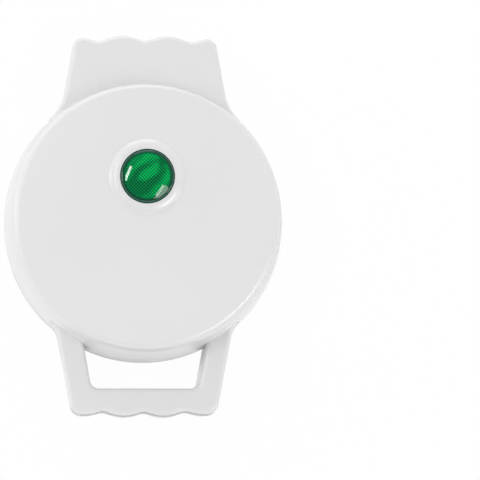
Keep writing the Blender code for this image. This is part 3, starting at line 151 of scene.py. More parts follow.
# Indicator
BEZEL_CREST_R = 12.6
BEZEL_FOOT_R = 16.2
BEZEL_RISE = 1.5
BEZEL_SINK = 0.04       # how far the ring's foot dips under the flat top
BEZEL_SEAT = 2.5
BEZEL_LIP = 0.4         # a thin lip laps over the lens's rolled edge
BEZEL_LAP = 0.25
BEZEL_STEPS = 16
LENS_FIT = 0.06
LENS_STEM_R = 9.2
LENS_STEM_WALL = 1.5
LENS_STEM_LENGTH = 6.0
LENS_CROWN_SHARE = 0.17     # how far the dome falls by its rim, of its radius
LENS_ROLL_SHARE = 0.84      # where the dome starts to roll over
LENS_STEPS = 16

# Inner frames and baking plates
FRAME_THICKNESS = 2.0
FRAME_WIDTH = 5.0
FRAME_EASE = 0.4
PLATE_GAP = 0.5
FLANGE_LAP = 1.3
PLATE_FLANGE = 1.5
PLATE_THICKNESS = 4.5
PLATE_STEP = 2.0
PLATE_LAND = 5.0
CAVITY_LOBE = 2.0
CAVITY_DEPTH = 1.6
CAVITY_SLOPE = 1.1
ENGRAVING_DEPTH = 0.8
LOBES = 12
HUB_R = 6.0
STAR_R = 4.2
STAR_DEEP_SHARE = 0.4
PETAL_END = 35.0
PETAL_WIDTH = 15.0
SEED_PITCH = 3.8
SEED_LEAN = 0.8
SEED_GAP = 1.0
LATTICE_PITCH = 4.6
FAN_LOBE = 1.6              # how far the line round the petals swells in each lobe
FAN_RIBS = 6
BORDER_INSET = 2.8          # the line that follows the scalloped rim inside the cavity
GROOVE_HALF = 0.3
SOFT_EDGE = 0.5             # how wide the relief's slopes are
RELIEF_STEP = 0.42
RELIEF_ROUND = 540
POST_R = 3.5
POST_DEGREES = (30.0, 150.0, 270.0)
STRAP_POST_R = 2.5
STRAP_POST_X = 12.5
ELEMENT_INSET = 16.5
ELEMENT_R = 3.25
POST_INSET = 12.0
REFLECTOR_INSET = 4.5
REFLECTOR_SHEET = 0.8
SUPPORT_R = 2.8
SUPPORT_INSET = 5.0
THERMOSTAT_CAP = 4.0

# Screws
SCREW_R = 1.0
SCREW_HEAD_R = 1.9
SCREW_HEAD = 1.3
SCREW_LENGTH = 7.8
SCREW_BOSS_R = 2.6
THREAD_PITCH = 0.8
THREAD_ROOT_SHARE = 0.8
HEAD_LAND = 0.15        # the straight edge of a countersunk head
HEAD_EASE = 0.08
CROSS_SHARES = (0.62, 0.14, 0.55)   # the cross recess: half length, half width, depth
CROSS_TURN = 0.7        # from one screw's cross to the next, in radians
HANDLE_SCREW_X = 16.0
TAIL_SCREW_X = 20.0
TAIL_SCREW_INSET = 5.8
PAN_R = 1.3
SMALL_PAN_R = 0.9
PIN_HEAD_R = 2.4
PIN_HEAD_LENGTH = 1.5
PIN_POINT_SHARE = 0.7
PIN_DOME = ((1.0, 0.5), (0.75, 0.12))   # shares of the head's radius and length

# Mains side and feet
GLAND_DEPTH = 19.5
GLAND_NECK_R = 4.8
GLAND_FLANGE_R = 6.2
GLAND_LIP_R = 5.6
GLAND_BORE_R = 3.4
GLAND_OUT = 2.8
GLAND_LIP = 1.6
GLAND_EASE = 1.0
FOOT_R = 6.0
FOOT_HEAD_R = 3.1
FOOT_HEAD = 1.8
FOOT_EASE = 0.7
FOOT_DIMPLE = 0.8
FOOT_DIMPLE_SHARES = (0.35, 0.42)
FOOT_STEPS = 5
FOOT_STEM_R = 2.2
FRONT_FOOT_X = 30.0
FRONT_FOOT_INSET = 22.0
REAR_FOOT_X = 24.0
REAR_FOOT_INSET = 12.0
VENT_LENGTH = 20.0
VENT_WIDTH = 2.2
VENT_PITCH = 6.0
VENT_ROUND_SHARE = 0.95
VENTS = 5

ROUND = 192
SMALL_ROUND = 48
LENS_ROUND = 128
PIN_ROUND = 32
TINY_ROUND = 24
SHADE_ANGLE = 32         # edges that turn less are shaded smooth, in degrees
ROUND_ANGLE = 50
RELIEF_ANGLE = 40

HANDLE_VALLEY = BODY_R + HANDLE_LENGTH
WINDOW_END = HANDLE_VALLEY - HANDLE_GRIP
TAIL_VALLEY = BODY_R + TAIL_LENGTH
BASE_TAIL_END = BODY_R + BASE_TAIL_LENGTH
PLATE_FACE_R = BODY_R - FRAME_WIDTH - PLATE_GAP
PLATE_FLANGE_R = BODY_R - FRAME_WIDTH + FLANGE_LAP
PLATE_BACK_R = PLATE_FACE_R - PLATE_STEP
CAVITY_R = PLATE_FACE_R - PLATE_LAND
POST_RADIUS = PLATE_BACK_R - ELEMENT_INSET - POST_INSET
SUPPORT_RADIUS = PLATE_BACK_R - REFLECTOR_INSET - SUPPORT_INSET
FRAME_BACK = FACE_GAP + FRAME_THICKNESS
PLATE_BACK = FACE_GAP + PLATE_THICKNESS
REFLECTOR_FACE = PLATE_BACK + 2 * FIT + 2 * ELEMENT_R
REFLECTOR_BACK = REFLECTOR_FACE + REFLECTOR_SHEET
STRAP_DEPTH = PLATE_BACK + 2 * FIT + THERMOSTAT_CAP
FRONT = -1
REAR = 1


# Objects

def pick(obj):
    """Make one object the only selected one."""
    bpy.ops.object.select_all(action="DESELECT")
    obj.select_set(True)
    bpy.context.view_layer.objects.active = obj


def edit_all(obj):
    """Enter edit mode with the whole mesh selected."""
    pick(obj)
    bpy.ops.object.mode_set(mode="EDIT")
    bpy.ops.mesh.select_all(action="SELECT")


def leave_edit():
    bpy.ops.object.mode_set(mode="OBJECT")


def face_outwards(obj):
    edit_all(obj)
    bpy.ops.mesh.normals_make_consistent(inside=False)
    leave_edit()


def round_edges(obj, width, segments, test):
    """Bevel the edges whose end points pass a test."""
    edit_all(obj)
    bpy.ops.mesh.select_mode(type="EDGE")
    bpy.ops.mesh.select_all(action="DESELECT")
    leave_edit()
    for edge in obj.data.edges:
        edge.select = test([obj.data.vertices[i].co for i in edge.vertices])
    bpy.ops.object.mode_set(mode="EDIT")
    bpy.ops.mesh.bevel(offset=width, offset_type="OFFSET", segments=segments,
                       affect="EDGES", clamp_overlap=False)
    leave_edit()


def flat_shape(outline, height):
    """One flat face: a circle whose points are moved onto an outline."""
    bpy.ops.object.select_all(action="DESELECT")
    bpy.ops.mesh.primitive_circle_add(vertices=len(outline), radius=BODY_R, fill_type="NGON")
    obj = bpy.context.view_layer.objects.active
    for vertex, (x, y) in zip(obj.data.vertices, outline):
        vertex.co = (x, y, height)
    return obj


def raised(outline, low, high):
    """An outline drawn at one height and extruded to another."""
    obj = flat_shape(outline, low)
    edit_all(obj)
    bpy.ops.mesh.extrude_region_move(TRANSFORM_OT_translate={"value": (0, 0, high - low)})
    leave_edit()
    face_outwards(obj)
    return obj


def edged(outline, start, end, radius, segments=5):
    """A raised outline whose far edge is rounded. The far end may be above or below the start."""
    obj = raised(outline, start, end)
    round_edges(obj, radius, segments, lambda points: all(abs(p.z - end) < LEVEL for p in points))
    return obj


def spun(profile, centre=(0.0, 0.0), steps=ROUND):
    """A profile of radius and height, spun about an upright axis."""
    mesh = bpy.data.meshes.new("spun")
    points = [(centre[0] + radius, centre[1], height) for radius, height in profile]
    edges = [(i, i + 1) for i in range(len(points) - 1)]
    if profile[0][0] > 0:
        edges.append((len(points) - 1, 0))
    mesh.from_pydata(points, edges, [])
    obj = bpy.data.objects.new("spun", mesh)
    bpy.context.scene.collection.objects.link(obj)
    edit_all(obj)
    bpy.ops.mesh.spin(steps=steps, angle=2 * math.pi, center=(*centre, 0), axis=(0, 0, 1))
    bpy.ops.mesh.select_all(action="SELECT")
    bpy.ops.mesh.remove_doubles(threshold=MERGE)
    bpy.ops.mesh.normals_make_consistent(inside=False)
    leave_edit()
    return obj


def rod(radius, low, high, centre=(0.0, 0.0), steps=SMALL_ROUND):
    return spun([(0, high), (radius, high), (radius, low), (0, low)], centre, steps)


def bar(outline, left, right):
    """An outline in Y and height, extruded along X."""
    obj = raised(outline, left, right)
    obj.data.transform(Matrix(((0, 0, 1, 0), (1, 0, 0, 0), (0, 1, 0, 0), (0, 0, 0, 1))))
    return obj


def box(x_range, y_range, z_range):
    """A cube stretched to its place."""
    bpy.ops.object.select_all(action="DESELECT")
    bpy.ops.mesh.primitive_cube_add(size=1)
    obj = bpy.context.view_layer.objects.active
    ranges = (x_range, y_range, z_range)
    for vertex in obj.data.vertices:
        vertex.co = [(low + high) / 2 + co * (high - low) for co, (low, high) in zip(vertex.co, ranges)]
    return obj


def lying_rod(axis, radius, start, end, across, height):
    """A rod along X or Y."""
    obj = rod(radius, start, end)
    if axis == "X":
        turn, place = Matrix.Rotation(math.pi / 2, 4, "Y"), (0, across, height)
    else:
        turn, place = Matrix.Rotation(-math.pi / 2, 4, "X"), (across, 0, height)
    obj.data.transform(Matrix.Translation(place) @ turn)
    return obj


def combine(obj, operation, *tools):
    """Apply a Boolean for each tool and drop the tools."""
    for tool in tools:
        pick(obj)
        bpy.ops.object.modifier_add(type="BOOLEAN")
        modifier = obj.modifiers[-1]
        modifier.operation = operation
        modifier.solver = "MANIFOLD"
        modifier.object = tool
        bpy.ops.object.modifier_apply(modifier=modifier.name)
        bpy.data.objects.remove(tool, do_unlink=True)
    return obj


def join(obj, *tools):
    return combine(obj, "UNION", *tools)


def cut(obj, *tools):
    return combine(obj, "DIFFERENCE", *tools)


def settle(obj, name, material, slot, body, *nodes, angle=SHADE_ANGLE):
    """Bring a finished piece to metres and to its place, shade it and let it ride."""
    obj.name = name
    obj.data.name = name
    obj.data.transform(Matrix.Translation((0, BODY_Y / MM, 0)) @ Matrix.Scale(1 / MM, 4))
    pick(obj)
    bpy.ops.object.shade_smooth_by_angle(angle=math.radians(angle))
    bpy.ops.object.modifier_add(type="WEIGHTED_NORMAL")
    modifier = obj.modifiers[-1]
    modifier.keep_sharp = True
    bpy.ops.object.modifier_apply(modifier=modifier.name)
    obj.data.materials.clear()
    obj.data.materials.append(material)
    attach(obj, body)
    if nodes:
        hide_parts(*nodes)


# Outlines

def arc(centre, radius, start, end, steps):
    """Points along an arc, both ends included, in degrees."""
    points = []
    for i in range(steps + 1):
        angle = math.radians(start + (end - start) * i / steps)
        points.append((centre[0] + radius * math.cos(angle), centre[1] + radius * math.sin(angle)))
    return points


def offset(outline, distance):
    """The outline, which runs anticlockwise, moved outwards by a distance."""
    moved = []
    count = len(outline)
    for i, (x, y) in enumerate(outline):
        before = outline[i - 1]
        after = outline[(i + 1) % count]
        first = Vector((y - before[1], before[0] - x)).normalized()
        second = Vector((after[1] - y, x - after[0])).normalized()
        shift = (first + second) * (distance / (1 + first.dot(second)))
        moved.append((x + shift.x, y + shift.y))
    return moved


def rounded(corners, radius, steps=10):
    """A convex anticlockwise polygon with its corners made into arcs."""
    points = []
    for i, corner in enumerate(corners):
        here = Vector(corner)
        back = (Vector(corners[i - 1]) - here).normalized()
        ahead = (Vector(corners[(i + 1) % len(corners)]) - here).normalized()
        half = back.angle(ahead) / 2
        centre = here + (back + ahead).normalized() * (radius / math.sin(half))
        first = here + back * (radius / math.tan(half)) - centre
        turn = math.degrees(first.angle_signed(here + ahead * (radius / math.tan(half)) - centre))
        start = math.degrees(math.atan2(first.y, first.x))
        points += arc(centre, radius, start, start - turn, steps)
    return points


def scallop(share):
    """The height of a scallop, from 0 in its soft valley to 1 on its crest, along its pitch."""
    soft = VALLEY_SOFTNESS_SHARE
    wave = math.sin(math.pi * share)
    return (math.sqrt(wave * wave + soft * soft) - soft) / (math.sqrt(1 + soft * soft) - soft)


def extension(side, half, half_out, taper, valley, bulge, pitch, bow, corner, fillet):
    """The handle's or the tail's outline: a scalloped end, tapered sides and fillets into the body."""
    half_at = BODY_R + half_out

    def end_at(x):
        return valley + bulge * scallop(x / pitch) - bow * (x / pitch) ** 2

    corner_x = half - taper * (valley - half_at) - corner
    corner_reach = end_at(corner_x) - corner
    steps = round(SCALLOP_STEPS * corner_x / pitch)
    points = [(corner_x * i / steps, end_at(corner_x * i / steps)) for i in range(steps)]
    points += arc((corner_x, corner_reach), corner, 90, 0, CORNER_STEPS)
    outward = Vector((1, taper)).normalized()
    along = Vector((-taper, 1)).normalized()
    line = outward.dot(Vector((half, half_at)))
    body = BODY_R - TANGENT_INSET
    run = math.sqrt((body + fillet) ** 2 - (line + fillet) ** 2)
    centre = outward * (line + fillet) + along * run
    start = math.degrees(math.atan2(-outward.y, -outward.x)) % 360
    end = math.degrees(math.atan2(-centre.y, -centre.x)) % 360
    points += arc(centre, fillet, start, end, FILLET_STEPS)
    inner = centre * (body / (body + fillet)) * ROOT_SHARE
    points.append((inner.x, inner.y))
    mirrored = [(-x, y) for x, y in points[::-1] if x > 0]
    outline = [(x, side * y) for x, y in points + mirrored]
    return outline[::-side]     # anticlockwise


def handle_outline(shorter=0.0):
    return extension(FRONT, HANDLE_HALF, HANDLE_HALF_OUT, HANDLE_TAPER_SHARE, HANDLE_VALLEY - shorter,
                     HANDLE_BULGE, HANDLE_PITCH, HANDLE_BOW, HANDLE_CORNER, HANDLE_FILLET)


def tail_outline(valley=TAIL_VALLEY, bulge=TAIL_BULGE, bow=TAIL_BOW, corner=TAIL_CORNER):
    return extension(REAR, TAIL_HALF, TAIL_HALF_OUT, TAIL_TAPER_SHARE, valley, bulge, TAIL_PITCH, bow,
                     corner, TAIL_FILLET)


def short_tail_outline():
    """The base's tail, with a straight end in front of the hinge."""
    return tail_outline(BASE_TAIL_END, 0.0, 0.0, BASE_TAIL_CORNER)


def window_outline(growth=0.0):
    """The finger gap, which ends inside the round body."""
    half = HANDLE_HALF - HANDLE_ARM
    half_at = BODY_R - WINDOW_HALF_INSET
    root = BODY_R - WINDOW_ROOT_INSET
    far = half - WINDOW_TAPER_SHARE * (WINDOW_END - half_at)
    near = half + WINDOW_TAPER_SHARE * (half_at - root)
    corners = [(-far, -WINDOW_END), (far, -WINDOW_END), (near, -root), (-near, -root)]
    return offset(rounded(corners, WINDOW_CORNER), growth)


def quarter(radius, top, size, steps=8):
    """Points round an outer corner, from a flat top of that radius down to the side."""
    return arc((radius, top - size), size, 90, 0, steps)


# Mouldings. Both halves are modelled upwards from height 0, and the base is then turned over.

def lid_profile(inset=0.0):
    """The lid's round body, or its hollow when inset."""
    shoulder = BODY_R - TOP_INSET + TOP_ROUND
    waist = BODY_R - WAIST_INSET
    top = quarter(BODY_R - TOP_INSET, LID_DEPTH, TOP_ROUND, TOP_STEPS)
    return [(0, LID_DEPTH - inset)] + [(radius - inset, height - inset) for radius, height in top] + [
        ((shoulder + waist) / 2 + TANGENT_INSET - inset,
         (3 * LID_DEPTH + DECK_DEPTH) / 4 - TOP_ROUND / 4),
        (waist + TANGENT_INSET / 2 - inset, (LID_DEPTH + DECK_DEPTH) / 2),
        (BODY_R - LIP_INSET - inset, DECK_DEPTH + WALL), (BODY_R - inset, 2 * FACE_GAP)]


def base_profile(inset=0.0):
    """The base's round body, or its hollow when inset."""
    depth = PARTING - FLOOR
    edge = quarter(BODY_R - BASE_LEAN - FLOOR_ROUND, depth, FLOOR_ROUND)
    return [(0, depth - inset)] + [(radius - inset, height - inset) for radius, height in edge] + [
        (BODY_R - inset, DECK_DEPTH), (BODY_R - inset, 2 * FACE_GAP)]


def body_of(profile, low):
    radius = profile[-1][0]
    return spun(profile + [(radius, low), (0, low)])


def on_window_rim(points):
    """Whether an edge lies on the window's upper rim, outside the round body."""
    middle = sum(points, Vector()) / len(points)
    inside = -WINDOW_END - FIT < middle.y < -(BODY_R - WINDOW_ROOT_INSET + WINDOW_CORNER)
    across = abs(middle.x) < HANDLE_HALF - HANDLE_ARM + WINDOW_CORNER
    return inside and across and all(abs(p.z - DECK_DEPTH) < LEVEL for p in points)


def housing(profile, handle, tail, tail_depth, tail_round):
    """A half's outer solid: handle loop, tail and round body, not yet hollowed or trimmed at height 0."""
    shell = edged(handle, -OVERRUN, DECK_DEPTH, EDGE_ROUND)
    cut(shell, raised(window_outline(), -2 * OVERRUN, DECK_DEPTH + OVERRUN))
    round_edges(shell, WINDOW_ROUND, WINDOW_ROUND_STEPS, on_window_rim)
    join(shell, body_of(profile(), -2 * OVERRUN))
    join(shell, edged(tail, -3 * OVERRUN, tail_depth, tail_round))
    return shell


def hollow_out(shell, profile, handle, tail, tail_depth):
    """Take the insides of the handle, the round body and the tail out of a half."""
    grip = raised(offset(handle, -WALL), -4 * OVERRUN, DECK_DEPTH - WALL)
    cut(grip, raised(window_outline(WALL), -5 * OVERRUN, DECK_DEPTH))
    cut(shell, body_of(profile(WALL), -5 * OVERRUN))
    cut(shell, grip)
    return cut(shell, raised(offset(tail, -WALL), -6 * OVERRUN, tail_depth - WALL))


def add_bosses(shell, rear_roof, roof):
    """Screw bosses near the handle and the tail, and posts that back the reflector."""
    sunk = WALL / 2
    bosses = [rod(SCREW_BOSS_R, FRAME_BACK + FIT, (rear_roof if y > 0 else DECK_DEPTH - WALL) + sunk,
                  (x, y), TINY_ROUND) for x, y in screw_places()]
    posts = [rod(SUPPORT_R, REFLECTOR_BACK + FIT, roof + sunk, around(SUPPORT_RADIUS, degrees),
                 TINY_ROUND) for degrees in POST_DEGREES]
    join(shell, gather(*bosses, *posts))
    end = FACE_GAP + SCREW_LENGTH + FIT
    cut(shell, gather(*[rod(SCREW_R + FIT, FRAME_BACK - OVERRUN, end, place, TINY_ROUND)
                        for place in screw_places()]))


def trim_face(shell):
    """Cut a half off square at its parting face."""
    reach = 2 * BODY_R
    return cut(shell, box((-reach, reach), (-reach, reach), (-7 * OVERRUN, FACE_GAP)))


def build_lid(material):
    handle = handle_outline(HANDLE_SHORTER)
    shell = housing(lid_profile, handle, tail_outline(), DECK_DEPTH, EDGE_ROUND)
    centre = (0.0, LENS_Y)
    top = LID_DEPTH + BEZEL_RISE
    slope = []
    for i in range(BEZEL_STEPS + 1):
        share = i / BEZEL_STEPS
        slope.append((BEZEL_CREST_R + (BEZEL_FOOT_R - BEZEL_CREST_R) * share,
                      LID_DEPTH - BEZEL_SINK + (BEZEL_RISE + BEZEL_SINK) * (1 - share ** 2)))
    ring = [(0, top)] + slope + [(BEZEL_FOOT_R, LID_DEPTH - WALL / 2), (0, LID_DEPTH - WALL / 2)]
    join(shell, spun(ring, centre))
    hollow_out(shell, lid_profile, handle, tail_outline(), DECK_DEPTH)
    cut(shell, rod(LENS_R + LENS_FIT, top - BEZEL_SEAT, top - BEZEL_LIP, centre, ROUND),
        rod(LENS_R - BEZEL_LAP, top - BEZEL_SEAT, top + OVERRUN, centre, ROUND),
        rod(LENS_STEM_R + FIT, LID_DEPTH - WALL - OVERRUN, top + OVERRUN, centre, ROUND))
    trim_face(shell)
    add_bosses(shell, DECK_DEPTH - WALL, LID_DEPTH - WALL)
    nose = arc((HINGE_Y, 0.0), KNUCKLE_R, 180, 360, NOSE_STEPS)
    ear = [(HINGE_Y - KNUCKLE_R, LUG_DEPTH)] + nose + [(HINGE_Y + KNUCKLE_R, LUG_DEPTH)]
    lug_inner = KNUCKLE_INNER - FIT - LUG_WIDTH
    outer_lug = KNUCKLE_INNER + KNUCKLE_WIDTH + FIT
    for side in (-1, 1):
        for start in (lug_inner, outer_lug):
            low, high = sorted((side * start, side * (start + LUG_WIDTH)))
            join(shell, bar(ear, low, high))
        low, high = sorted((side * (lug_inner - OVERRUN), side * (outer_lug + PIN_TIP_LAND + FIT)))
        cut(shell, lying_rod("X", PIN_R + FIT, low, high, HINGE_Y, 0.0))
    shell.data.transform(Matrix.Translation((0, 0, PARTING)))
    settle(shell, "lid_cover", material, "white_plastic", "lid", "lid_shell")


def foot_places():
    front_y = -(BODY_R - FRONT_FOOT_INSET)
    rear_y = BASE_TAIL_END - REAR_FOOT_INSET
    return {f"{end}_{hand}": (side * x, y)
            for end, x, y in (("front", FRONT_FOOT_X, front_y), ("rear", REAR_FOOT_X, rear_y))
            for side, hand in ((-1, "left"), (1, "right"))}


def build_base(material):
    depth = PARTING - FLOOR
    tail = short_tail_outline()
    shell = housing(base_profile, handle_outline(), tail, depth, TAIL_FLOOR_ROUND)
    hollow_out(shell, base_profile, handle_outline(), tail, depth)
    trim_face(shell)
    add_bosses(shell, depth - WALL, depth - WALL)
    nose = arc((HINGE_Y, 0.0), KNUCKLE_R, 180, 450, NOSE_STEPS * 3 // 2)
    wall_y = BASE_TAIL_END - WALL / 2
    through = (BASE_TAIL_END - WALL - OVERRUN, BASE_TAIL_END + OVERRUN)
    ear = [(wall_y, ARM_DEPTH), (wall_y, 2 * FACE_GAP), (HINGE_Y - KNUCKLE_R, 2 * FACE_GAP)] + nose[1:]
    for side in (-1, 1):
        low, high = sorted((side * KNUCKLE_INNER, side * (KNUCKLE_INNER + KNUCKLE_WIDTH)))
        join(shell, bar(ear, low, high))
        cut(shell, lying_rod("X", PIN_R + FIT, low - OVERRUN, high + OVERRUN, HINGE_Y, 0.0))
        stop = sorted((side * STOP_INNER, side * STOP_OUTER))
        join(shell, box(stop, (wall_y, BASE_TAIL_END + STOP_REACH), (STOP_TOP_DEPTH, STOP_END_DEPTH)))
        cut(shell, lying_rod("Y", LEAD_HOLE_R, *through, side * LEAD_HOLE_X, LEAD_HOLE_DEPTH))
    cut(shell, lying_rod("Y", GLAND_NECK_R + FIT, *through, 0.0, GLAND_DEPTH))
    for place in foot_places().values():
        cut(shell, rod(FOOT_STEM_R + FIT, depth - WALL - OVERRUN, depth + OVERRUN, place))
    half, reach = VENT_WIDTH / 2, VENT_LENGTH / 2
    for row in range(VENTS):
        x = VENT_PITCH * (row - (VENTS - 1) / 2)
        slot = rounded([(x - half, -reach), (x + half, -reach), (x + half, reach), (x - half, reach)],
                       half * VENT_ROUND_SHARE)
        cut(shell, raised(slot, depth - WALL - OVERRUN, depth + OVERRUN))
    turned_over(shell, -1)
    settle(shell, "base_housing", material, "white_plastic", "base", "base_shell")


def build_lens(material):
    """The lens: a low dome whose rim rolls down into the ring."""
    drop = LENS_CROWN_SHARE * LENS_R
    profile = [(0, LENS_TOP)]
    for i in range(1, LENS_STEPS + 1):
        share = LENS_ROLL_SHARE * i / LENS_STEPS
        profile.append((LENS_R * share, LENS_TOP - drop * share ** 2))
    radius, height = profile[-1]
    reach = LENS_R - radius
    for i in range(1, LENS_STEPS + 1):
        share = i / LENS_STEPS
        fall = share * 2 * LENS_CROWN_SHARE + share ** 3
        profile.append((radius + reach * share, height - reach * fall))
    inside = LENS_STEM_R - LENS_STEM_WALL
    end = LENS_FOOT - LENS_STEM_LENGTH
    profile += [(LENS_R, LENS_FOOT), (LENS_STEM_R, LENS_FOOT), (LENS_STEM_R, end), (inside, end),
                (inside, LENS_FOOT), (0, LENS_FOOT)]
    lens = spun(profile, (0.0, LENS_Y), LENS_ROUND)
    settle(lens, "lens_dome", material, "green_lens", "lid", "indicator_lens", angle=ROUND_ANGLE)


# Baking plates

def eased(value):
    """A soft step: 0 at or below 0, 1 at or above 1."""
    value = min(max(value, 0.0), 1.0)
    return value * value * (3 - 2 * value)


def groove(distance):
    """How deep a groove is at a distance from its middle, from 0 to 1."""
    return 1 - eased((abs(distance) - GROOVE_HALF) / SOFT_EDGE)


def nearest(value, pitch):
    """How far a value is from the nearest of evenly spaced lines."""
    return (value + pitch / 2) % pitch - pitch / 2


def flower(radius, angle, pitch):
    """The grooves outside the hub: six petals with seeds, and a lattice between them."""
    turn = nearest(angle, 2 * pitch)
    along, across = radius * math.cos(turn), abs(radius * math.sin(turn))
    share = min(max((along - HUB_R) / (PETAL_END - HUB_R), 0.0), 1.0)
    inside = PETAL_WIDTH / 2 * math.sin(math.pi * share) - across
    if inside > 0:
        seed = groove(nearest(along - across * SEED_LEAN, SEED_PITCH))
        seed *= eased((inside - SEED_GAP) / SOFT_EDGE)
        filling = seed * eased((across - GROOVE_HALF) / SOFT_EDGE)
    else:
        turn = nearest(angle + pitch, 2 * pitch)
        x, y = radius * math.cos(turn), radius * math.sin(turn)
        filling = max(groove(nearest(x + y, LATTICE_PITCH)), groove(nearest(x - y, LATTICE_PITCH)))
    return max(filling, groove(inside))


def relief(x, y):
    """The depth of a plate's face: a scalloped cavity with a pizzella's flower in its floor."""
    radius, angle = math.hypot(x, y), math.atan2(y, x)
    pitch = 2 * math.pi / LOBES
    lobe = abs(math.sin(LOBES * angle / 2))
    rim = CAVITY_R + CAVITY_LOBE * lobe
    border = rim - BORDER_INSET
    ring = PETAL_END + FAN_LOBE * lobe
    if radius < HUB_R:
        point = 1 - abs(nearest(angle, pitch)) / (pitch / 2)
        sunk = eased((STAR_R * (1 - point * (1 - STAR_DEEP_SHARE)) - radius) / SOFT_EDGE)
    elif radius < ring:
        sunk = flower(radius, angle, pitch)
    else:
        sunk = groove(radius * nearest(angle, pitch / FAN_RIBS)) * eased((border - radius) / SOFT_EDGE)
    sunk = max(sunk, groove(radius - HUB_R), groove(radius - ring), groove(radius - border))
    return FACE_GAP + CAVITY_DEPTH * eased((rim - radius) / CAVITY_SLOPE) + ENGRAVING_DEPTH * sunk


def turned_over(obj, side):
    """Stand a piece that was modelled from the parting plane up in the lid (1) or the base (-1)."""
    obj.data.transform(Matrix.Translation((0, 0, PARTING)) @ Matrix.Scale(side, 4, (0, 0, 1)))
    face_outwards(obj)
    return obj


def sleeve_post(outer, bore, low, high, centre):
    """A hollow post."""
    return spun([(bore, low), (bore, high), (outer, high), (outer, low)], centre, SMALL_ROUND)


def gather(obj, *others):
    """Join loose pieces into one object."""
    pick(obj)
    for other in others:
        other.select_set(True)
    bpy.ops.object.join()
    return obj


def around(radius, degrees):
    return radius * math.cos(math.radians(degrees)), radius * math.sin(math.radians(degrees))


def cast_plate():
    """A cast plate with its relief, its flange and the posts on its back."""
    flange = FRAME_BACK + FIT
    rings = round(PLATE_FACE_R / RELIEF_STEP)
    face = [(PLATE_FACE_R * i / rings, FACE_GAP) for i in range(rings + 1)]
    edge = [(PLATE_FACE_R, flange), (PLATE_FLANGE_R, flange), (PLATE_FLANGE_R, flange + PLATE_FLANGE),
            (PLATE_BACK_R, flange + PLATE_FLANGE), (PLATE_BACK_R, PLATE_BACK), (0, PLATE_BACK)]
    plate = spun((face + edge)[::-1], steps=RELIEF_ROUND)
    for vertex in plate.data.vertices:
        if abs(vertex.co.z - FACE_GAP) < LEVEL and vertex.co.xy.length < PLATE_FACE_R - SOFT_EDGE / 2:
            vertex.co.z = relief(vertex.co.x, vertex.co.y)
    posts = [sleeve_post(POST_R, PAN_R + FIT, PLATE_BACK - ENGRAVING_DEPTH, REFLECTOR_FACE - FIT,
                         around(POST_RADIUS, degrees)) for degrees in POST_DEGREES]
    posts += [sleeve_post(STRAP_POST_R, SMALL_PAN_R + FIT, PLATE_BACK - ENGRAVING_DEPTH,
                          STRAP_DEPTH - FIT, (x, 0.0)) for x in (-STRAP_POST_X, STRAP_POST_X)]
    return gather(plate, *posts)


def build_plates(material):
    """The upper plate, and its copy turned over for the base."""
    upper = cast_plate()
    lower = copied(upper)
    for plate, half, body, side in ((upper, "upper", "lid", 1), (lower, "lower", "base", -1)):
        turned_over(plate, side)
        settle(plate, f"{half}_flower_plate", material, "plate_coating", body, f"{half}_bake_plate",
               angle=RELIEF_ANGLE)


# Frames, screws, feet, pins and the cord inlet

def screw_places():
    front = -(WINDOW_END + HANDLE_VALLEY) / 2
    rear = BASE_TAIL_END - TAIL_SCREW_INSET
    return [(-HANDLE_SCREW_X, front), (HANDLE_SCREW_X, front),
            (-TAIL_SCREW_X, rear), (TAIL_SCREW_X, rear)]


def build_frame(material, body, side, handle):
    """The flat inner frame round a plate, with eased edges and countersunk holes."""
    inset = -(WALL + FIT)
    inner, tail = [edged(offset(outline, inset), FRAME_BACK, FACE_GAP, FRAME_EASE, FRAME_EASE_STEPS)
                   for outline in (handle, short_tail_outline())]
    cut(inner, raised(window_outline(-inset), FACE_GAP - OVERRUN, FRAME_BACK + OVERRUN))
    disc = [(0, FRAME_BACK), (BODY_R + inset, FRAME_BACK), (BODY_R + inset, FACE_GAP + FRAME_EASE),
            (BODY_R + inset - FRAME_EASE, FACE_GAP), (0, FACE_GAP)]
    join(inner, spun(disc), tail)
    bore = BODY_R - FRAME_WIDTH
    high, low = FRAME_BACK + OVERRUN, FACE_GAP - OVERRUN
    cut(inner, spun([(0, high), (bore, high), (bore, FACE_GAP + FRAME_EASE),
                             (bore + FRAME_EASE, FACE_GAP), (bore + FRAME_EASE, low), (0, low)]))
    hole, mouth = SCREW_R + FIT, SCREW_HEAD_R + FIT
    sink = [(0, high), (hole, high), (hole, FACE_GAP + SCREW_HEAD), (mouth, FACE_GAP),
            (mouth, low), (0, low)]
    for place in screw_places():
        cut(inner, spun(sink, place, SMALL_ROUND))
    turned_over(inner, side)
    settle(inner, f"{body}_inner_frame", material, "frame_plastic", body, f"{body}_frame")


def frame_screw():
    """A countersunk screw with a cross recess and a threaded shank."""
    shank_end = FACE_GAP + SCREW_LENGTH
    profile = [(0, shank_end), (SCREW_R / 2, shank_end)]
    turns = round((SCREW_LENGTH - SCREW_HEAD - FIT) / THREAD_PITCH)
    for i in range(turns, 0, -1):
        height = FACE_GAP + SCREW_HEAD + FIT + THREAD_PITCH * (i - 0.5)
        profile += [(SCREW_R * THREAD_ROOT_SHARE, height + THREAD_PITCH / 4), (SCREW_R, height)]
    top = FACE_GAP + FIT
    profile += [(SCREW_R, FACE_GAP + SCREW_HEAD + FIT), (SCREW_HEAD_R, top + HEAD_LAND),
                (SCREW_HEAD_R - HEAD_EASE, top), (0, top)]
    screw = spun(profile, steps=TINY_ROUND)
    long, thin, deep = CROSS_SHARES
    long = (-SCREW_HEAD_R * long, SCREW_HEAD_R * long)
    thin = (-SCREW_HEAD_R * thin, SCREW_HEAD_R * thin)
    deep = (FACE_GAP, top + SCREW_HEAD * deep)
    return cut(screw, box(long, thin, deep), box(thin, long, deep))


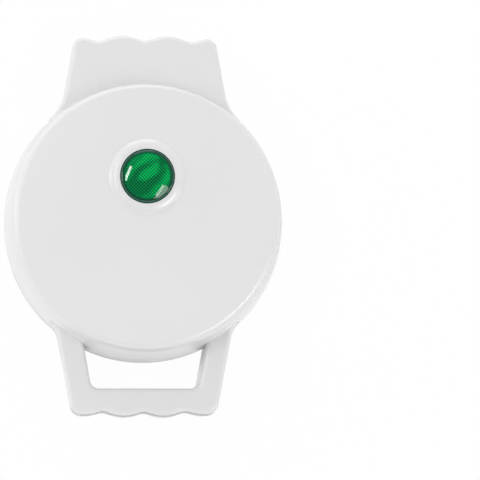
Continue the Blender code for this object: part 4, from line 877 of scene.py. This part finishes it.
def copied(obj):
    """A copy with its own mesh."""
    copy = obj.copy()
    copy.data = obj.data.copy()
    bpy.context.scene.collection.objects.link(copy)
    return copy


def build_screws(material):
    screw = frame_screw()
    for body, side in (("lid", 1), ("base", -1)):
        for number, place in enumerate(screw_places(), 1):
            made = copied(screw)
            turn = Matrix.Rotation(CROSS_TURN * number, 4, "Z")
            made.data.transform(Matrix.Translation((*place, 0)) @ turn)
            turned_over(made, side)
            settle(made, f"{body}_cross_screw_{number}", material, "bright_steel", body,
                   f"{body}_frame_screw_{number}")
    bpy.data.objects.remove(screw, do_unlink=True)


def build_feet(material):
    """Pushed-in rubber feet with a rounded sole and a dimple."""
    neck = FLOOR - FIT
    head = FLOOR + WALL + FIT
    ease = arc((FOOT_R - FOOT_EASE, FOOT_EASE), FOOT_EASE, 270, 360, FOOT_STEPS)
    roof, mouth = FOOT_DIMPLE_SHARES
    profile = [(0, FOOT_DIMPLE), (FOOT_R * roof, FOOT_DIMPLE), (FOOT_R * mouth, 0)] + ease + [
        (FOOT_R, neck - FOOT_EASE), (FOOT_R - FOOT_EASE, neck), (FOOT_STEM_R, neck),
        (FOOT_STEM_R, head), (FOOT_HEAD_R, head), (FOOT_STEM_R - FOOT_EASE, head + FOOT_HEAD),
        (0, head + FOOT_HEAD)]
    foot = spun(profile, steps=SMALL_ROUND)
    for place_name, place in foot_places().items():
        made = copied(foot)
        made.data.transform(Matrix.Translation((*place, 0)))
        settle(made, f"rubber_foot_{place_name}", material, "foot_rubber", "base", f"foot_{place_name}",
               angle=ROUND_ANGLE)
    bpy.data.objects.remove(foot, do_unlink=True)


def build_gland(material):
    """The empty cord inlet: a ribbed grommet in the rear wall."""
    outside = BASE_TAIL_END + FIT
    inside = BASE_TAIL_END - WALL - FIT
    out = outside + GLAND_OUT
    bore, flange, ease = GLAND_BORE_R, GLAND_FLANGE_R, GLAND_EASE
    profile = [(bore, out - ease / 2), (bore + ease / 2, out), (flange - ease, out),
               (flange - ease / 3, out - ease / 3), (flange, out - ease), (flange, outside + ease / 4),
               (flange - ease / 4, outside), (GLAND_NECK_R, outside), (GLAND_NECK_R, inside),
               (GLAND_LIP_R, inside), (GLAND_NECK_R, inside - GLAND_LIP), (bore, inside - GLAND_LIP)]
    gland = spun(profile, steps=SMALL_ROUND)
    turn = Matrix.Rotation(-math.pi / 2, 4, "X")
    gland.data.transform(Matrix.Translation((0, 0, PARTING - GLAND_DEPTH)) @ turn)
    settle(gland, "cord_grommet", material, "black_plastic", "base", "cord_gland")


def build_pins(material):
    """Hinge pins with a domed head at their inner end."""
    lug_inner = KNUCKLE_INNER - FIT - LUG_WIDTH
    tip = KNUCKLE_INNER + KNUCKLE_WIDTH + FIT + PIN_TIP_LAND
    head = lug_inner - FIT - PIN_HEAD_LENGTH
    profile = [(0, tip), (PIN_R * PIN_POINT_SHARE, tip), (PIN_R, tip - PIN_R * (1 - PIN_POINT_SHARE)),
               (PIN_R, lug_inner - FIT), (PIN_HEAD_R, lug_inner - FIT)]
    profile += [(PIN_HEAD_R * wide, head + PIN_HEAD_LENGTH * far) for wide, far in PIN_DOME]
    profile.append((0, head))
    for side, hand in ((-1, "left"), (1, "right")):
        pin = spun(profile, steps=PIN_ROUND)
        turn = Matrix.Rotation(side * math.pi / 2, 4, "Y")
        pin.data.transform(Matrix.Translation((0, HINGE_Y, PARTING)) @ turn)
        settle(pin, f"steel_pin_{hand}", material, "bright_steel", "lid", f"hinge_pin_{hand}",
               angle=ROUND_ANGLE)


# Finishes

NOISE_SPAN = (0.3, 0.7)     # where most of a noise's values lie


class Link:
    """A node's output, with sums and products written as Python does."""

    def __init__(self, tree, socket):
        self.tree = tree
        self.socket = socket

    def node(self, kind, inputs, output=0, stops=None, **settings):
        """Any node: its settings, then the values or links of its sockets."""
        made = self.tree.nodes.new(kind)
        for name, value in settings.items():
            setattr(made, name, value)
        if stops:
            ramp = made.color_ramp.elements
            while len(ramp) < len(stops):
                ramp.new(1.0)
            for element, (place, colour) in zip(ramp, stops):
                element.position = place
                element.color = (*colour, 1.0)
        for name, value in inputs.items():
            if isinstance(value, Link):
                self.tree.links.new(value.socket, made.inputs[name])
            else:
                made.inputs[name].default_value = value
        return Link(self.tree, made.outputs[output])

    def maths(self, operation, first, second):
        return self.node("ShaderNodeMath", {0: first, 1: second}, operation=operation)

    def __add__(self, other):
        return self.maths("ADD", self, other)

    __radd__ = __add__

    def __sub__(self, other):
        return self.maths("SUBTRACT", self, other)

    def __rsub__(self, other):
        return self.maths("SUBTRACT", other, self)

    def __mul__(self, other):
        return self.maths("MULTIPLY", self, other)

    __rmul__ = __mul__

    def parts(self):
        """The X, Y and Z of a vector."""
        split = self.node("ShaderNodeSeparateXYZ", {"Vector": self}).socket.node
        return [Link(self.tree, output) for output in split.outputs]

    def noise(self, scale, detail=2.0):
        return self.node("ShaderNodeTexNoise", {"Vector": self, "Scale": scale, "Detail": detail})

    def between(self, low, high, new_low=0.0, new_high=1.0):
        """The value moved smoothly from one range to another."""
        return self.node("ShaderNodeMapRange", {"Value": self, "From Min": low, "From Max": high,
                                                "To Min": new_low, "To Max": new_high},
                         interpolation_type="SMOOTHSTEP")

    def mixed(self, *shades):
        """One colour or another, by this value."""
        first, second = [shade if isinstance(shade, Link) else (*shade, 1.0) for shade in shades]
        return self.node("ShaderNodeMix", {0: self, 6: first, 7: second}, output=2, data_type="RGBA")


def new_finish(name, **constants):
    """A Principled material with its constants set, and its object coordinates."""
    material = bpy.data.materials.new(name)
    material.use_nodes = True
    tree = material.node_tree
    shader = tree.nodes["Principled BSDF"]
    for socket, value in constants.items():
        shader.inputs[socket.replace("_", " ")].default_value = value
    coordinates = tree.nodes.new("ShaderNodeTexCoord")
    return material, shader, Link(tree, coordinates.outputs["Object"])


def feed(shader, socket, link):
    link.tree.links.new(link.socket, shader.inputs[socket])


def bump(shader, height, distance, strength=1.0):
    """Relief of a real depth, in metres."""
    feed(shader, "Normal", height.node("ShaderNodeBump", {"Height": height, "Distance": distance,
                                                          "Strength": strength}))


def mottled(name, first, second, tint, sheen, grain=None, **constants):
    """Two colours and a range of roughness, each by a noise's scale and detail, and a fine grain."""
    material, shader, at = new_finish(name, **constants)
    feed(shader, "Base Color", at.noise(*tint).mixed(first, second))
    feed(shader, "Roughness", at.noise(*sheen[:2]).between(*NOISE_SPAN, *sheen[2:]))
    if grain:
        bump(shader, at.noise(*grain[:2]), grain[2])
    return material


def white_gloss():
    """Moulded gloss white with a faint orange-peel and slight differences in sheen."""
    material, shader, at = new_finish("gloss_white", Specular_IOR_Level=0.5, Coat_Roughness=0.12)
    cloud = at.noise(14.0, 3.0).between(*NOISE_SPAN)
    feed(shader, "Base Color", cloud.mixed((0.795, 0.785, 0.790), (0.775, 0.765, 0.770)))
    feed(shader, "Roughness", at.noise(60.0).between(0.2, 0.8, 0.17, 0.24))
    bump(shader, at.noise(700.0, 1.0), 0.000008)
    return material


def lens_green():
    """Clear green over moulded diagonal prisms with painted light and shade, and dark and bright rings of painted
    shade and reflection where the rim rolls over.
    """
    material, shader, at = new_finish("prism_green", Coat_Weight=1.0, Coat_Roughness=0.03,
                                      Coat_IOR=1.45, Roughness=0.45, Specular_IOR_Level=0.0)
    flat = at.node("ShaderNodeMapping", {"Vector": at, "Location": (0.0, -(LENS_Y + BODY_Y) / MM, 0.0)})
    turned = flat.node("ShaderNodeMapping", {"Vector": flat, "Rotation": (0.0, 0.0, math.radians(45))})
    first, second, _ = turned.parts()
    x, y, _ = flat.parts()
    radius = x.maths("SQRT", x * x + y * y, 0.0) * (MM / LENS_R)
    pitch = 0.00100

    def ridge(value):
        """A soft wave from 0 to 1."""
        return value.maths("PINGPONG", value, pitch / 2).between(0.08 * pitch, 0.42 * pitch)

    falling = ridge(first)
    rising = ridge(second)
    patch = flat.noise(150.0, 0.0).between(0.40, 0.60)
    band = turned.node("ShaderNodeMapping", {"Vector": turned, "Scale": (1.0, 0.35, 1.0)})
    # Painted light: the prisms are drawn brighter in soft bands.
    bright = band.noise(210.0, 1.0).between(0.38, 0.62)
    lines = patch * falling + (1 - patch) * rising
    # Painted light and shade on the prisms, brightest where their ridges cross; the greens run from shaded to lit.
    lit = (0.30 + 0.22 * lines + 0.40 * falling * rising) * (0.52 + 0.60 * bright)
    green = lit.node("ShaderNodeValToRGB", {"Fac": lit}, stops=[
        (0.10, (0.000, 0.050, 0.020)), (0.32, (0.000, 0.170, 0.048)), (0.55, (0.000, 0.330, 0.070)),
        (0.90, (0.001, 0.600, 0.140))])
    # Painted shade and reflection where the rim rolls over: a dark ring, a brighter ring and a dark edge.
    ring = radius.node("ShaderNodeValToRGB", {"Fac": radius}, stops=[
        (0.800, (0.000, 0.150, 0.050)), (0.845, (0.000, 0.105, 0.040)), (0.870, (0.000, 0.020, 0.011)),
        (0.890, (0.000, 0.024, 0.013)), (0.915, (0.000, 0.105, 0.056)), (0.955, (0.000, 0.085, 0.045)),
        (0.985, (0.000, 0.020, 0.012))])
    feed(shader, "Base Color", radius.between(0.76, 0.81).mixed(green, ring))
    bump(shader, (falling + rising) * (1 - radius.between(0.74, 0.80)), 0.00008, 0.5)
    return material


def dark_coat():
    """Dark non-stick coat on a cast plate."""
    material, shader, at = new_finish("non_stick", Metallic=0.2, Specular_IOR_Level=0.5)
    fleck = at.noise(1800.0, 2.0).between(0.62, 0.72)
    feed(shader, "Base Color", fleck.mixed((0.050, 0.050, 0.053), (0.13, 0.13, 0.135)))
    feed(shader, "Roughness", at.noise(120.0, 3.0).between(*NOISE_SPAN, 0.26, 0.36))
    bump(shader, at.noise(1500.0, 3.0), 0.00003)
    return material


def mill_sheet():
    material, shader, at = new_finish("mill_sheet", Metallic=1.0)
    streak = at.node("ShaderNodeMapping", {"Vector": at, "Scale": (1.0, 30.0, 30.0)}).noise(60.0, 3.0)
    feed(shader, "Base Color", streak.mixed((0.80, 0.81, 0.82), (0.66, 0.67, 0.68)))
    feed(shader, "Roughness", streak.between(*NOISE_SPAN, 0.28, 0.44))
    bump(shader, streak, 0.00001)
    return material


def sleeve(name, shade):
    """A woven silicone sleeve on a lead."""
    material, shader, at = new_finish(name)
    darker = tuple(part * 0.7 for part in shade)
    weave = at.node("ShaderNodeTexVoronoi", {"Vector": at, "Scale": 1800.0})
    feed(shader, "Base Color", weave.between(0.2, 0.6).mixed(shade, darker))
    feed(shader, "Roughness", weave.between(0.0, 0.8, 0.5, 0.7))
    bump(shader, weave, 0.00004)
    return material


# Build

finishes = {
    "white_plastic": white_gloss(), "plate_coating": dark_coat(), "sheet_aluminium": mill_sheet(),
    "green_lens": lens_green(),
    "frame_plastic": mottled("satin_white", (0.74, 0.73, 0.71), (0.68, 0.67, 0.65), (30.0, 3.0),
                             (200.0, 2.0, 0.42, 0.55), (2600.0, 2.0, 0.00002), Specular_IOR_Level=0.4),
    "bright_steel": mottled("zinc_steel", (0.66, 0.66, 0.67), (0.50, 0.50, 0.52), (300.0, 3.0),
                            (900.0, 2.0, 0.24, 0.40), (2500.0, 2.0, 0.00001), Metallic=1.0),
    "heater_steel": mottled("heater_sheath", (0.34, 0.30, 0.27), (0.16, 0.14, 0.15), (180.0, 3.0),
                            (180.0, 3.0, 0.40, 0.60), (2000.0, 2.0, 0.00002), Metallic=0.9),
    "lamp_glass": mottled("bulb_glass", (0.95, 0.96, 0.95), (0.90, 0.92, 0.90), (200.0, 2.0),
                          (400.0, 2.0, 0.03, 0.08), Transmission_Weight=0.9, IOR=1.45),
    "black_plastic": mottled("black_moulding", (0.025, 0.025, 0.026), (0.04, 0.04, 0.042), (200.0, 2.0),
                             (300.0, 2.0, 0.42, 0.56), (2600.0, 2.0, 0.00002)),
    "foot_rubber": mottled("foot_rubber", (0.045, 0.045, 0.045), (0.09, 0.088, 0.085), (500.0, 4.0),
                           (500.0, 4.0, 0.75, 0.92), (1800.0, 3.0, 0.00004), Specular_IOR_Level=0.3),
    "lead_red": sleeve("sleeve_red", (0.50, 0.05, 0.04)),
    "lead_white": sleeve("sleeve_white", (0.78, 0.78, 0.76)),
    "lead_orange": sleeve("sleeve_orange", (0.72, 0.36, 0.05))}
for part in frame["record"]["subparts"]:
    piece = frame["nodes"][part["node"]]
    piece.data.materials.clear()
    piece.data.materials.append(finishes[part["material_slot"]])

build_lid(finishes["white_plastic"])
build_base(finishes["white_plastic"])
build_lens(finishes["green_lens"])
build_plates(finishes["plate_coating"])
build_frame(finishes["frame_plastic"], "lid", 1, handle_outline(HANDLE_SHORTER))
build_frame(finishes["frame_plastic"], "base", -1, handle_outline())
build_screws(finishes["bright_steel"])
build_feet(finishes["foot_rubber"])
build_gland(finishes["black_plastic"])
build_pins(finishes["bright_steel"])


# Camera: at the photograph's place, almost overhead, a little to the front and the left

CAMERA_PLACE = (-65.05, -118.79, 1223.33)
LEAN_RIGHT = 5.118      # degrees from straight down
LEAN_BACK = 5.321
ROLL = 0.175
LENS_LENGTH = 208.44
SENSOR = 36.0
VIEW_RANGE = (0.05, 20.0)


def add_camera():
    data = bpy.data.cameras.new("camera")
    data.sensor_width = SENSOR
    data.lens = LENS_LENGTH
    data.clip_start, data.clip_end = VIEW_RANGE
    camera = bpy.data.objects.new("camera", data)
    bpy.context.scene.collection.objects.link(camera)
    right = math.radians(LEAN_RIGHT)
    back = math.radians(LEAN_BACK)
    forward = Vector((math.sin(right) * math.cos(back), math.sin(back),
                      -math.cos(right) * math.cos(back)))
    side = forward.cross(Vector((0, 1, 0))).normalized()
    up = side.cross(forward)
    roll = Matrix.Rotation(math.radians(-ROLL), 4, "Z")
    turn = Matrix((side, up, -forward)).transposed().to_4x4() @ roll
    place = Vector(CAMERA_PLACE) + Vector((0, BODY_Y, 0))
    camera.matrix_world = Matrix.Translation(place / MM) @ turn
    bpy.context.scene.camera = camera


def add_panel(name, place, aim, size, power, only_mirrored=False):
    """A soft box that looks at a point. One that is only mirrored adds a highlight and no light."""
    data = bpy.data.lights.new(name, "AREA")
    data.shape = "RECTANGLE"
    data.size, data.size_y = size
    data.energy = power
    light = bpy.data.objects.new(name, data)
    bpy.context.scene.collection.objects.link(light)
    light.location = place
    light.rotation_euler = (Vector(place) - Vector(aim)).to_track_quat("Z", "Y").to_euler()
    light.visible_diffuse = not only_mirrored


FLOOR_SIZE = 8.0
FLOOR_GLOW = 0.96
SHADED = (0.058, 0.067)         # within this reach a mirrored floor keeps the shade under the iron
SHADE_MIDDLE = (-0.0045, -0.0015)
SKY_LOW = (0.60, 0.60, 0.60)
SKY_HIGH = (0.79, 0.79, 0.79)
BACKDROP = (1.0, 1.0, 1.0)      # white all round, mirrored only
CEILING = (0.12, 0.12, 0.12)    # the dim ceiling behind the camera


def in_view(tree, mirrored=1.0):
    """1 for what the camera sees straight or through glass, and a share for what it sees mirrored."""
    path = tree.nodes.new("ShaderNodeLightPath")
    straight, glossy, through = [Link(tree, path.outputs[name])
                                 for name in ("Is Camera Ray", "Is Glossy Ray", "Is Transmission Ray")]
    return straight.maths("MAXIMUM", straight.maths("MAXIMUM", straight, glossy * mirrored), through)


def add_world():
    world = bpy.data.worlds.new("studio")
    bpy.context.scene.world = world
    world.use_nodes = True
    tree = world.node_tree
    background = tree.nodes["Background"]
    direction = Link(tree, tree.nodes.new("ShaderNodeTexCoord").outputs["Generated"])
    height = direction.parts()[2]
    sky = height.between(0.1, 0.95).mixed(SKY_LOW, SKY_HIGH)
    backdrop = height.between(0.45, 0.80).mixed(BACKDROP, CEILING)
    tree.links.new(in_view(tree).mixed(sky, backdrop).socket, background.inputs["Color"])


def add_floor():
    """A pale floor that reads as white from above, keeps a soft shadow and is clear from below."""
    bpy.ops.object.select_all(action="DESELECT")
    bpy.ops.mesh.primitive_plane_add(size=FLOOR_SIZE)
    floor = bpy.context.view_layer.objects.active
    floor.name = "floor"
    material, shader, at = new_finish("floor_white", Base_Color=(0.95, 0.95, 0.95, 1.0), Roughness=0.9,
                                      Specular_IOR_Level=0.0)
    tree = material.node_tree
    x, y, _ = at.parts()
    x = x - SHADE_MIDDLE[0]
    y = y - (SHADE_MIDDLE[1] + BODY_Y / MM)
    away = x.maths("SQRT", x * x + y * y, 0.0).between(*SHADED)
    glow = at.node("ShaderNodeEmission", {})
    lit = Link(tree, shader.outputs["BSDF"])
    blend = at.node("ShaderNodeMixShader", {0: in_view(tree, away) * FLOOR_GLOW, 1: lit, 2: glow})
    below = at.node("ShaderNodeNewGeometry", {}, output="Backfacing")
    clear = at.node("ShaderNodeBsdfTransparent", {})
    sided = at.node("ShaderNodeMixShader", {0: below, 1: blend, 2: clear})
    tree.links.new(sided.socket, tree.nodes["Material Output"].inputs["Surface"])
    floor.data.materials.append(material)


add_camera()
add_world()
add_floor()
for panel in (      # name, place, aim, size, power and whether it is only mirrored
        ("high_strip", (-0.55, 0.25, 1.28), (0, 0.03, 0.06), (0.50, 0.08), 2.4),
        ("high_window", (0.462, -0.30, 1.28), (0, 0.03, 0.06), (0.42, 0.08), 1.0),
        ("window_glint", (0.613, -0.484, 1.084), (0, 0.03, 0.06), (0.60, 0.55), 5.5, True),
        ("rear_side", (-0.1, 1.35, 0.60), (0, 0.05, 0.04), (1.0, 0.5), 4.0),
        ("front_side", (0.1, -1.3, 0.50), (0, -0.05, 0.04), (0.8, 0.4), 1.2),
        ("left_side", (-1.4, 0.15, 0.35), (0, 0, 0.03), (0.5, 0.8), 3.2),
        ("right_side", (1.3, -0.55, 0.35), (0, 0, 0.03), (0.5, 0.8), 2.5)):
    add_panel(*panel)
bpy.context.scene.view_settings.view_transform = "Standard"
